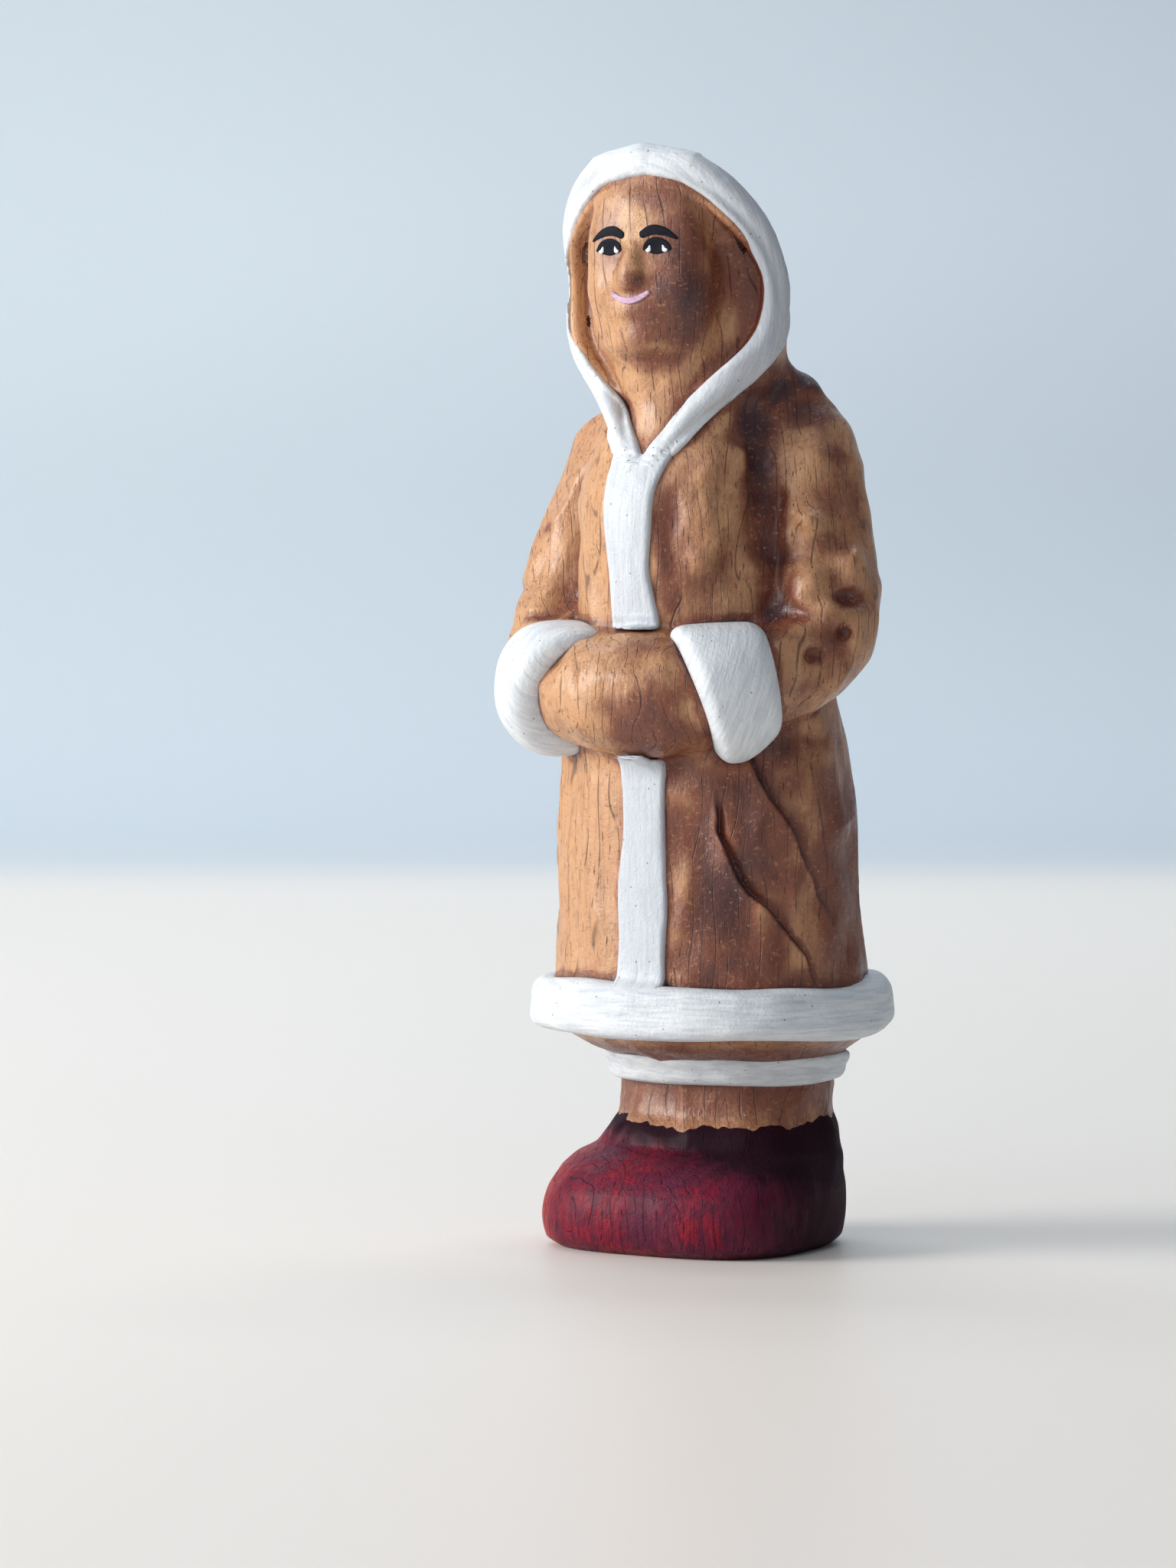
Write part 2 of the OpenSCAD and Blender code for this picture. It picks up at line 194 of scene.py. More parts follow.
def soft_noise(grid, cell, seed, cut=None):
    """Smooth random field of unit spread, with one random value a cell."""
    rng = np.random.default_rng(seed)
    counts = [int(grid.n[a] * grid.step / cell[a]) + 4 for a in range(3)]
    v = rng.standard_normal(counts).astype(np.float32)
    for a in range(3):
        q = np.arange(grid.n[a]) * grid.step / cell[a]
        if cut is not None:
            q = q[cut[a]]
        i = np.floor(q).astype(int)
        t = q - i
        m = np.zeros((len(q), counts[a]), np.float32)
        rows = np.arange(len(q))
        m[rows, i] = (1 - t) ** 3 / 6
        m[rows, i + 1] = (3 * t ** 3 - 6 * t ** 2 + 4) / 6
        m[rows, i + 2] = (-3 * t ** 3 + 3 * t ** 2 + 3 * t + 1) / 6
        m[rows, i + 3] = t ** 3 / 6
        v = np.moveaxis(np.tensordot(m, v, axes=(1, a)), 0, a)
    return v / 0.33


def loft(rows, X, Y, Z, taper=0.0, shift=None):
    """Field of a solid through rings of [z, half width, front y, back y, squareness]."""
    r = curve(rows, Z.ravel()).astype(np.float32)
    wide, front, back, e = (r[:, k][None, None, :] for k in range(4))
    mid, deep = (front + back) / 2, (back - front) / 2
    x = X if shift is None else X - shift(Z)
    y = Y - mid
    v = np.abs(y) / deep
    if taper:
        wide = wide * (1 - taper * np.clip(y / deep, -1.2, 1.2))
    g = (np.power(np.abs(x) / wide, e) + np.power(v, e)) ** (1 / e)
    rad = np.sqrt(x * x + y * y)
    return (rad - rad / np.maximum(g, 1e-3)).astype(np.float32)


def chain(rows, axes, segments):
    """Field of balls of changing size along a path of [key, place on each axis, radius]."""
    p = curve(rows, np.linspace(rows[0][0], rows[-1][0], segments + 1))
    best = None
    for a, b in zip(p[:-1], p[1:]):
        d = b[:-1] - a[:-1]
        t = sum((v - a[k]) * d[k] for k, v in enumerate(axes)) / float(d @ d)
        t = np.clip(t, 0, 1)
        off = [v - a[k] - t * d[k] for k, v in enumerate(axes)]
        far = np.hypot(*off) if len(off) == 2 else np.sqrt(sum(o ** 2 for o in off))
        near = far - (a[-1] + t * (b[-1] - a[-1]))
        best = near if best is None else np.minimum(best, near)
    return best


def limb(rows, X, Y, Z, segments=14):
    return chain(rows, (X, Y, Z), segments).astype(np.float32)


def limb_box(rows, margin=3.0):
    """Two corners of the block round a limb."""
    p = np.array(rows, float)
    reach = p[:, 4].max() + margin
    return p[:, 1:4].min(0) - reach, p[:, 1:4].max(0) + reach


def mirrored(rows, side, dx=0.0):
    return [[r[0], side * r[1] + dx] + list(r[2:]) for r in rows]


# ---- outlines ---------------------------------------------------------------
# Rings for loft: z, half width, front y, back y, squareness. Limbs: key, x, y, z, radius.

BOOT = [
    [0, 13.4, TOE_Y + 1.7, HEEL_Y - 0.8, 2.8],
    [1, 14.4, TOE_Y + 0.6, HEEL_Y - 0.1, 2.8],
    [3.4, 14.8, TOE_Y, HEEL_Y + 0.1, 2.8],
    [6.2, 14.7, TOE_Y + 0.5, HEEL_Y + 0.1, 2.7],
    [8.3, 14.1, TOE_Y + 2.1, HEEL_Y, 2.6],
    [9.6, 13.6, TOE_Y + 4.6, HEEL_Y, 2.5],
    [10.4, 12.8, TOE_Y + 6.6, HEEL_Y, 2.4],
    [11.3, LEG_HALF + 1, -8, HEEL_Y - 0.1, 2.3],
    [BOOT_TOP + 1, LEG_HALF + 0.7, -7.4, HEEL_Y - 0.1, 2.3]]
LEG = [
    [BOOT_TOP - 2, LEG_HALF + 0.7, -7.5, LEG_BACK, 2.3],
    [BOOT_TOP, LEG_HALF + 0.5, -7.2, LEG_BACK, 2.3],
    [14.4, LEG_HALF, -6.4, LEG_BACK - 0.2, 2.2],
    [16.8, LEG_HALF - 0.2, -6.2, LEG_BACK, 2.2],
    [BAND_HI + 1, LEG_HALF, -6.7, LEG_BACK + 0.2, 2.2]]
UNDERSKIRT = [
    [BAND_HI - 0.6, LEG_HALF + 0.9, -8, LEG_BACK + 0.6, 2.2],
    [BAND_HI + 0.8, LEG_HALF + 2.6, -10.4, LEG_BACK + 1.2, 2.2],
    [HEM_LO, LEG_HALF + 5.4, -13, LEG_BACK + 2, 2.2],
    [HEM_LO + 2, LEG_HALF + 5.6, -13.4, LEG_BACK + 1.6, 2.2]]
COAT = [
    [HEM_LO, 17.1, -13.5, 13.9, 2.2],
    [HEM_HI, 17, -13.5, 13.7, 2.2],
    [36, 16.5, -13.4, 12.6, 2.2],
    [48, 16.2, -13.3, 11.2, 2.2],
    [HANDS_Z - 2, 15, -13.2, 10.6, 2.15],
    [64, 13.6, -14.2, 10.4, 2.05],
    [72, 12.9, -15, 10.4, 2.05],
    [78, 12.2, -15, 10.4, 2.1],
    [CHIN_V + 0.6, 11.2, -13.3, 10.4, 2.3],
    [87, 10.2, -11.2, 10, 2.3],
    [90, 8.8, -9.8, 8.8, 2.2],
    [92, 6.8, -8, 6.8, 2.2],
    [93.4, 3.6, -5, 4, 2.2]]
HEM_CORE = [[0, HEM_HALF - 2.7, HEM_MID_Y - 13.6, HEM_MID_Y + 13.6, 2.2],
            [200, HEM_HALF - 2.7, HEM_MID_Y - 13.6, HEM_MID_Y + 13.6, 2.2]]
LEG_CORE = [[0, LEG_HALF, -6.5, LEG_BACK, 2.2], [200, LEG_HALF, -6.5, LEG_BACK, 2.2]]
ARM = [
    [0, 8.4, 2.2, 85.4, 5],
    [1, 11.2, 1.4, 82.8, 5.5],
    [2, 12.6, 0.2, 77.8, 5.9],
    [3, 14.3, -0.9, 71.8, 6],
    [4, 15.4, -2.1, 66.6, 6],
    [5, 14.8, -4.8, 63, 5.9],
    [6, 12.1, -8.4, HANDS_Z + 2.4, 5.7],
    [7, 8.4, -12.6, HANDS_Z + 0.8, 5.2]]
ARM_SHIFT = -0.4
MITTENS = [
    [0, -5.4, HANDS_Y + 7.2, HANDS_Z + 0.1, 5.7],
    [1, -2.6, HANDS_Y + 6.5, HANDS_Z, 6.25],
    [2, 0, HANDS_Y + 6.4, HANDS_Z - 0.1, 6.35],
    [3, 2.6, HANDS_Y + 6.5, HANDS_Z, 6.25],
    [4, 5.4, HANDS_Y + 7.2, HANDS_Z + 0.1, 5.7]]
HOOD = [
    [84.5, 7, -9.6, 7.6, 2.2],
    [88, 9.2, -11, 7, 2.2],
    [91, 10.5, -11.8, 4.6, 2.3],
    [94, 11.6, -12.6, 2, 2.4],
    [97.5, 12.1, -13.1, 1, 2.5],
    [101.5, 11.9, -13.9, -0.3, 2.4],
    [105, 11, -14.2, -1.6, 2.3],
    [109, 8.9, -14.3, -3.4, 2.2],
    [CROWN - 3.2, 6.6, -14.1, -5.4, 2.1],
    [CROWN - 1.9, 4.6, -13.7, -7.2, 2],
    [CROWN - 1.1, 2.7, -13.2, -9, 2]]
OPENING = [  # z, half width of the face opening, y of its rim
    [CHIN_V, 0.1, -13.5], [85.3, 1.8, -12.7], [88.6, 4.2, -11.6], [91, 6.9, -10.4],
    [93.5, 9.6, -9.4], [96, 11.1, -8.7], [99, 11.6, -8.4], [102, 11.3, -8.9],
    [105.5, 9.8, -10.9], [108.6, 7.4, -12.9], [110.4, 4.4, -14.2], [RIM_TOP, 0.1, -14.7]]
FACE = [
    [86.5, 3.6, -12.2, -5, 2.2],
    [89.5, 4.4, -11.6, -5, 2.2],
    [92.2, 5.2, -12.7, -5, 2.2],
    [94, 6.2, -14.3, -5, 2.3],
    [98, 7, -15.2, -6, 2.5],
    [102, 7.1, -15.5, -7, 2.7],
    [106, 6.7, -15.3, -9, 2.6],
    [109, 5.6, -14.8, -10.5, 2.4],
    [111, 3.6, -13.9, -11.5, 2.2]]
CUFF_MOUTH = np.array([7.2, HANDS_Y + 6.5, HANDS_Z])
CUFF_TURN = math.radians(40)
CUFF_LEN, CUFF_R = 8.0, 7.2
RISE = 0.55                                 # of the plackets and the edging above the wood

FOLDS = [  # path of z and degrees round the skirt, depth, width
    ([[26, -20], [30, -25], [34, -32], [35.5, -39], [37.8, -49], [40.8, -55.5],
      [44, -59], [49, -62]], 1.0, 1.8),
    ([[26, 4], [30.5, -1], [35.5, -11], [40, -22], [44, -30], [47.4, -37],
      [49.6, -44], [54, -49]], 1.5, 3.2)]
# Marks of the knife and of the colour: x, y, z, the radii along them, the depth of wood taken
# away (or added, below 0), and how dark the glaze and painted shade are (or how much paler, below
# 0, as painted highlight).
EARLY_MARKS = [
    # broad washes of darker colour, mostly on the side away from the window: glaze with painted
    # shade, and on the face two paler ones as painted highlight
    (17, -4.5, 73, 5.5, 6.5, 15, 0, 0.55), (7.4, -13.2, 73, 6.5, 4, 14, 0, 0.55),
    (3.6, -15, 73, 1.8, 3, 10, 0, 0.8), (4.8, -18.5, HANDS_Z - 2.2, 5.5, 5, 4.8, 0, 0.9),
    (9.4, -11.5, 40, 9.4, 8, 20, 0, 1.02), (17, 2, 40, 4, 12, 20, 0, 0.8),
    (5.2, -15, 103.5, 4.6, 3, 6.5, 0, 0.8), (3, -14.5, 109, 6, 3, 3, 0, 0.6),
    (-3, -15, 104, 4, 3, 5, 0, 0.42), (5.8, -13.8, 99, 4.8, 4, 7.6, 0, 1.04),
    (1.8, -13.4, 93.2, 4.6, 2.6, 1.3, 0, 0.5), (2.6, -15.4, 96.8, 3.6, 2.8, 3.6, 0, 0.75),
    (3.8, -15.6, 99.6, 2.4, 2.8, 4.2, 0, 1), (10, -9, 101, 3.4, 4, 8, 0, 0.8),
    (-3.6, -14.8, 98.4, 2.2, 2.6, 3.6, -0.02, -0.6),
    (0, -14.8, 106.5, 1.8, 2.6, 2.4, -0.02, -0.5),
    # the left sleeve: soft swellings with gouged dents between them; the swellings are painted
    # paler as highlight and the dents hold glaze and painted shade
    (14.8, -6, 82, 2.4, 2.2, 2.4, -0.9, -0.75), (16.2, -7, 76.4, 2.9, 2.4, 2.2, -1.2, -0.75),
    (16.6, -7.9, 69.8, 3.2, 2.4, 2.1, -1.3, -0.75), (19.4, -4, 72.2, 1.8, 2.4, 2.2, -0.6, -0.75),
    (15.6, -10.2, 63.4, 2.6, 2.4, 1.6, -0.9, -0.75), (18.4, -6.4, 67, 1.6, 1.8, 1.2, -0.5, -0.75),
    (16.9, -5.9, 79.4, 2.6, 2.2, 1.4, 1.3, 0.7), (18.8, -4.8, 73.4, 2.1, 2.4, 1.7, 1.5, 0.95),
    (18.2, -5, 76, 1.2, 2.2, 2.8, 0.7, 0.6), (19.6, -4.6, 68.2, 3, 2.6, 1.4, 1.6, 1),
    (18.6, -5.8, 70.4, 1.4, 2.2, 2.2, 0.6, 0.55), (19.4, -5.6, 64.6, 2.1, 2.4, 1.9, 1.4, 0.95),
    (17.8, -8.2, 62.4, 2.4, 2.3, 1.4, 1.3, 0.95), (18.6, -7, 63.6, 3.2, 2.8, 2.6, 0, 0.75),
    (15.4, -9.6, 66.4, 3.8, 2.4, 1, 1.2, 0.95), (13.4, -11.4, 64.8, 3.2, 2.6, 1.8, 0, 0.85),
    (8.2, -13.4, 76.5, 2.2, 2.4, 6.5, -0.9, -0.7), (4, -14.8, 75, 1.5, 2.2, 8, 0.5, 0.5),
    (10.8, 1, 90.2, 3.2, 3.6, 2.2, -1.5, 1.3), (11.6, -9.8, 65.6, 2.2, 1.8, 0.8, 0.7),
    (13.6, -12.2, 62.2, 1.3, 1.4, 2.4, 0.9), (12.6, -6.6, 85.6, 2.6, 2.4, 1.2, 0.8),
    (20.4, 0.4, 75.5, 1.7, 3.4, 8.5, 0.35, 0.5), (17.2, -1.4, 83.2, 2.6, 3, 2, 0.5, 0.8)]
LATE_MARKS = [
    # the right sleeve, the back and the right of the skirt, their dents darkened with glaze and
    # painted shade; the paler swellings on the skirt's front are painted highlight
    (-17.6, -6, 75.5, 1.7, 1.9, 1.2, 1), (-19.4, -4, 68.5, 1.7, 1.9, 1.1, 1.1),
    (-18.6, -6.6, 64.4, 1.4, 1.6, 1.2, 1), (-15, -9.6, 66, 3.2, 1.8, 0.8, 0.7),
    (19.6, 3.6, 70, 1.9, 1.8, 1.1, 1), (-20, 3.4, 66, 1.9, 1.8, 1.1, 0.9),
    (0, 10.6, 74, 1.6, 1.8, 9, 0.45, 0.3), (6.5, 10, 58, 4.6, 1.8, 1.2, 0.7, 0.4),
    (-6.5, 10.2, 56, 4.6, 1.8, 1.2, 0.7, 0.4), (-9, 10.4, 42, 1.4, 2.4, 10, 0.9, 0.4),
    (8, 10.8, 38, 1.4, 2.4, 10, 0.9, 0.4), (-14.6, -7.6, 38, 1.5, 2.2, 8, 0.6),
    (9.8, -10.6, 52.2, 2.8, 2.2, 1.5, 0.7), (15.6, -5.4, 53.4, 2.6, 3, 2.2, 1),
    (9, -11.6, 43.5, 1.8, 2, 3.6, -0.4, -0.5), (12.2, -9.6, 36, 1.6, 2, 3.6, -0.4, -0.4),
    (5.2, -13.6, 40, 1.6, 2, 5, -0.2, -0.4),
    # the mittens' dividing line, and the notch over them
    (-3.4, HANDS_Y + 1.2, HANDS_Z + 2.4, 0.45, 1.6, 3.2, 0.3),
    (-4.6, -16.2, HANDS_Z + 6.2, 1.4, 1.6, 0.7, 0.5),
    # marks of colour: painted shade with glaze beside the plackets, over and under the hands,
    # round the face and under the chin, and on the shoulder; under the upper placket a little wood
    # is added and painted paler, as painted light
    (4.2, -14.6, 76, 1.4, 2, 8, 0, 0.8), (4.4, -14.6, 68, 1.6, 2, 3, 0, 0.8),
    (8, -13.6, 65.2, 4.5, 2.6, 1.6, 0, 0.75), (2.4, -15.4, 64, 3, 2, 0.8, 0, 0.3),
    (0.2, -15.6, 64.1, 3.2, 1.8, 0.8, -0.55, -0.6), (5.6, -20, 59.4, 1.6, 2, 2.6, 0, 0.55),
    (12.4, -2, 87.8, 3, 5, 2.2, 0, 0.9), (8, -11, 99, 1.8, 2.6, 6.5, 0, 1),
    (6.4, -13.6, 97, 1.6, 2, 4, 0, 0.5), (4.2, -13.6, 92.4, 4.6, 2.6, 1.6, 0, 0.9),
    (1.2, -16.4, 100.6, 1.8, 1.8, 1.4, 0, 0.85), (-9.6, -10.2, 100, 2, 2.6, 7, 0, 0.42),
    (9.6, -9.6, 97, 2.6, 3, 8, 0, 0.7), (3.4, -11.4, 88.6, 3.4, 3, 2.8, 0, 0.4),
    (9.4, -3, 90, 3.6, 4.5, 2.8, 0, 1.2), (13, -8, 53, 4, 5, 3.4, 0, 0.9),
    (3.4, -18.5, 54, 6, 5, 3, 0, 0.8), (6.4, -13.6, 72, 2, 3, 9, 0, 0.4),
    (4, -17, HANDS_Z + 5, 4.5, 3, 1.6, 0, 0.6)]


# ---- the wood ---------------------------------------------------------------

G = Grid([LO[0] - 0.8, LO[1] - 0.8, -0.9], [HI[0] + 0.8, HI[1] + 0.8, HI[2] + 0.9], STEP)
X, Y, Z = G.X, G.Y, G.Z


def boot_shift(z):
    return -0.8 * np.clip(1 - z / BOOT_TOP, 0, 1)


def block(z0, z1):
    """The layer of samples between two heights."""
    return G.part([-99, -99, z0], [99, 99, z1])


def carve_wood():
    """The field of the whole block of wood, and those of its main masses."""
    wood = G.new()

    cut, x, y, z = block(-9, BOOT_TOP + 3)
    boots = loft(BOOT, x, y, z, 0.09, boot_shift)
    boots = smax(boots, z - BOOT_TOP - 0.4, 1.6)
    legs = smax(loft(LEG, x, y, z), 9.0 - z, 0.5)
    wood[cut] = smin(boots, legs, 1.2)
    cut, x, y, z = block(BOOT_TOP + 0.6, HEM_LO + 1)
    wood[cut] = np.minimum(wood[cut], loft(LEG, x, y, z))
    cut, x, y, z = block(BAND_HI - 2, HEM_LO + 4)
    flare = smax(loft(UNDERSKIRT, x, y, z), BAND_HI - 0.5 - z, 0.4)
    wood[cut] = smin(wood[cut], smax(flare, z - HEM_LO - 3, 0.4), 0.6)

    cut, x, y, z = block(HEM_LO - 1, 94.5)
    coat = smax(smax(loft(COAT, x, y, z), HEM_LO + 0.6 - z, 0.4), z - 93.6, 0.8)
    coat = G.filled(cut, coat)
    wood = smin(wood, coat, 0.3)

    arms = {}
    for side in (1, -1):
        rows = mirrored(ARM, side, ARM_SHIFT)
        cut, x, y, z = G.part(*limb_box(rows))
        arms[side] = G.filled(cut, limb(rows, x, y, z))
        soft = 0.55 + 2.6 * smooth01(z, 79.0, 87.0)
        wood[cut] = smin(wood[cut], arms[side][cut], soft)
    filler = [[0, -5.5, -12.8, HANDS_Z + 3.4, 3.0], [1, 5.5, -12.8, HANDS_Z + 3.4, 3.0]]
    cut, x, y, z = G.part(*limb_box(filler))
    wood[cut] = smin(wood[cut], limb(filler, x, y, z, 1), 1.4)
    cut, x, y, z = G.part(*limb_box(MITTENS))
    hands = G.filled(cut, limb(MITTENS, x, y, z))
    wood[cut] = smin(wood[cut], hands[cut], 1.1 + 1.8 * smooth01(HANDS_Z + 1.0 - z, 0.0, 5.0))

    cut, x, y, z = block(84.0, 200)
    hood = G.filled(cut, smax(loft(HOOD, x, y, z, 0.08), z - CROWN + 1.1, 2.2))
    wood[cut] = smin(wood[cut], hood[cut], 0.9)
    return wood, coat, arms, hands, hood


def rim(z):
    """Half width of the face opening at z, and the y of its rim."""
    r = curve(OPENING, np.asarray(z, float).ravel()).astype(np.float32)
    return r[:, 0], r[:, 1]


def carve_face(wood):
    """The hollow round the face, and the face standing in it."""
    cut, x, y, z = G.part([-15, -20, CHIN_V - 2], [15, -2, RIM_TOP + 2])
    w, yr = (v[None, None, :] for v in rim(z))
    zz = z.ravel()
    ax = np.abs(x)
    depth = (0.25 + window(zz, 87, 94, 103.5, 110))[None, None, :]
    inside = np.clip(w - ax, 0, 99)
    floor = yr + depth * smooth01(inside, 0.0, 1.3) - 0.46 * np.clip(inside - 0.7, 0, 99)
    floor = floor - 0.2 * np.clip(ax - w, 0, 99)
    hollow = smax(smax(ax - w - 2.2, y - floor, 0.2), np.abs(z - (CHIN_V + RIM_TOP) / 2)
                  - (RIM_TOP - CHIN_V) / 2, 0.3)
    part = smax(wood[cut], -hollow, 0.35)
    face = smax(smax(loft(FACE, x, y, z), 85.5 - z, 1.5), z - RIM_TOP + 0.7, 1.2)
    part = smin(part, face, 1.5)

    def ball(px, py, pz, rx, ry, rz):
        q = np.sqrt(((x - px) / rx) ** 2 + ((y - py) / ry) ** 2 + ((z - pz) / rz) ** 2)
        return (q - 1) * min(rx, ry, rz)

    nose = limb([[0, 0, NOSE_Y + 2.0, EYE_Z + 0.3, 0.8], [1, 0, NOSE_Y + 1.6, 102.4, 1.15],
                 [2, 0, NOSE_Y + 1.85, 101.1, 1.8]], x, y, z, 6)
    wings = np.minimum(ball(-1.5, NOSE_Y + 2.3, 100.7, 1.1, 1.0, 0.95),
                       ball(1.5, NOSE_Y + 2.3, 100.7, 1.1, 1.0, 0.95))
    nose = smax(smin(nose, wings, 0.5), 99.8 - z, 0.3)
    for side in (1, -1):
        part = smax(part, -ball(side * 2.8, -16.7, EYE_Z - 0.1, 2.4, 1.6, 1.7), 0.7)
        part = smin(part, ball(side * 3.6, -13.0, 100.0, 2.7, 2.2, 2.2), 1.1)
    part = smin(part, ball(0, -13.6, 97.8, 3.2, 2.0, 2.2), 1.0)
    part = smin(part, ball(0, -13.2, 94.8, 2.8, 1.9, 1.7), 0.9)
    part = smax(part, -ball(0, -16.3, 96.5, 2.4, 0.95, 0.5), 0.5)
    part = smin(part, nose, 0.5)
    wood[cut] = part


def skirt_angle(x, y, z):
    """Angle round the skirt: 0 on the figure's left, -90 degrees in front."""
    r = curve(COAT, z.ravel()).astype(np.float32)
    wide, front, back = (r[:, k][None, None, :] for k in range(3))
    return np.arctan2((y - (front + back) / 2) / ((back - front) / 2), x / wide)


def carve_cloth(wood, glaze_and_painted_shading):
    """Folds of the skirt, creases and dents of the sleeves, and the marks of the knife.

    The dark glaze that a carver rubs in gathers in them, and painted shade in the folds, valley
    and dents and painted highlight on the swellings are laid with it; the second field holds them
    all."""
    cut, x, y, z = G.part([-1, -99, HEM_HI - 1], [99, 99, 56])
    th = np.degrees(skirt_angle(x, y, z))
    wob = soft_noise(G, (3.0, 3.0, 1.6), 11, cut)
    zz = z.ravel()
    degree = 0.28                     # about one degree round the skirt
    for rows, deep, width in FOLDS:
        line = curve(rows, zz).astype(np.float32)[:, 0]
        tilt = np.gradient(line, zz) * degree
        s = (th - line[None, None, :]) * degree / np.sqrt(1 + tilt * tilt)[None, None, :]
        s = s + 0.18 * wob
        low, high = rows[0][0], rows[-1][0]
        fade = window(zz, low, low + 6, high - 3, high)[None, None, :]
        step = smooth01(s, -0.12, 0.35) * np.exp(-np.clip(s, 0, 99) / width)
        lip = np.exp(-(s / 0.9) ** 2) * (s < 0)
        wood[cut] += (fade * (deep * step - 0.16 * lip)).astype(np.float32)
        # painted shade along each fold, darkest just past its step
        shade = smooth01(s, -0.25, 0.1) * np.exp(-np.clip(s, 0, 99) / (width - 1.2))
        shade = np.maximum(1.4 * np.exp(-((s - 0.15) / 0.3) ** 2), 1.15 * shade)
        glaze_and_painted_shading[cut] = np.maximum(glaze_and_painted_shading[cut], fade * shade)

    ragged = soft_noise(G, (1.9, 1.9, 1.5), 7)

    def dent(px, py, pz, rx, ry, rz, deep, dark=None):
        """Removes wood and darkens the hollow with glaze and painted shade, or adds wood where
        deep is negative, painted paler as a highlight where dark is negative too.
        """
        r = np.array([rx, ry, rz]) * 2.2
        c, x, y, z = G.part(np.array([px, py, pz]) - r, np.array([px, py, pz]) + r)
        q = ((x - px) / rx) ** 2 + ((y - py) / ry) ** 2 + ((z - pz) / rz) ** 2
        q = q * np.exp(0.4 * ragged[c])
        wood[c] += (deep * np.exp(-q * 1.6)).astype(np.float32)
        if dark is None:
            dark = min(0.95, deep)
        if deep < 0 and dark < 0:
            glaze_and_painted_shading[c] += (dark * np.exp(-q * 1.3)).astype(np.float32)
        elif dark > 0:
            spread = 1.1 if deep == 0 else 1.7
            glaze_and_painted_shading[c] = np.maximum(glaze_and_painted_shading[c], (dark * np.exp(-q * spread)).astype(np.float32))

    for mark in EARLY_MARKS:
        dent(*mark)
    # the valley between the chest and the left sleeve, and a shallower one on the right, darkened
    # with glaze and painted shade
    for side, deep in ((1, 1.9), (-1, 0.8)):
        path = curve([[0, 9.4, -6.4, 86.4], [1, 10.9, -7.6, 80.5], [2, 12.3, -8.1, 74.0],
                      [3, 12.7, -8.6, 67.0]], np.linspace(0, 3, 13))
        for k, (px, py, pz) in enumerate(path):
            grow = 0.45 + 0.55 * math.sin(math.pi * min(1, 0.2 + 0.06 * k))
            dent(side * px, py, pz, 1.9, 2.2, 2.2, deep * grow * 0.62, 0)
            dent(side * px, py, pz, 2.0, 2.6, 2.4, 0, 1.55 if side > 0 else 0.45)
    for mark in LATE_MARKS:
        dent(*mark)

    # knife marks: shallow scoops with soft ridges between them, smaller on the face
    scoop = np.abs(soft_noise(G, (3.0, 3.0, 4.2), 3)) * 0.26
    face = smooth01(Z, 88, 95) * (1 - smooth01(Y, -9, -5))
    boots = smooth01(-Z, -14, -10)
    calm = (1 - 0.75 * face) * (1 - 0.6 * boots)
    # under the plackets the wood is cut flat
    bed = np.exp(-(X / 3.6) ** 4) * (1 - smooth01(Y, -12, -9)) * (1 - smooth01(Z, 84, 87))
    bed = bed * (1 - window(Z, 50, 52.5, 63.5, 65.5))
    calm = calm * (1 - 0.85 * bed)
    wood += (scoop - 0.16) * calm + 0.05 * soft_noise(G, (1.3, 1.3, 3.0), 4) * calm


def levelled(field):
    """The same surface with true distances near it."""
    g = np.gradient(field, G.step)
    size = np.sqrt(g[0] ** 2 + g[1] ** 2 + g[2] ** 2)
    return (field / np.clip(size, 0.35, 2.0)).astype(np.float32)


def blurred(v, radius, times=2):
    """Box blur, a few times over."""
    r = max(1, int(round(radius / G.step)))
    for _ in range(times):
        for a in range(3):
            pad = [(0, 0)] * 3
            pad[a] = (r + 1, r)
            c = np.cumsum(np.pad(v, pad, mode="edge"), axis=a, dtype=np.float32)
            n = c.shape[a]
            hi = np.take(c, np.arange(2 * r + 1, n), axis=a)
            lo = np.take(c, np.arange(0, n - 2 * r - 1), axis=a)
            v = (hi - lo) / (2 * r + 1)
    return v


wood, coat_f, arm_f, hands_f, hood_f = carve_wood()
carve_face(wood)
# glaze, painted shade and painted highlight, laid over the wood
glaze_and_painted_shading = G.new(0)
carve_cloth(wood, glaze_and_painted_shading)
# a darker ring round the legs at the underskirt band: glaze, with painted shade under the band
shin_glaze_and_shade = np.exp(-((Z - 16.0) / 3.6) ** 2) * 0.56 + np.exp(-((Z - 20.6) / 1.4) ** 2) * 0.6
glaze_and_painted_shading = np.maximum(glaze_and_painted_shading, (shin_glaze_and_shade + 0 * X + 0 * Y).astype(np.float32))
wood = smax(levelled(wood), -Z, 0.5)
for a, c in enumerate((X, Y)):
    wood = smax(wood, np.maximum(c - HI[a], LO[a] - c) + 0.05 + 0 * wood, 0.2)
skin = levelled(wood)


# ---- the painted trims ------------------------------------------------------

def round_box(a, b, r):
    """Two distances past the flat sides, joined with a rounded corner."""
    a, b = a + r, b + r
    return (np.sqrt(np.maximum(a, 0) ** 2 + np.maximum(b, 0) ** 2)
            + np.minimum(np.maximum(a, b), 0) - r).astype(np.float32)


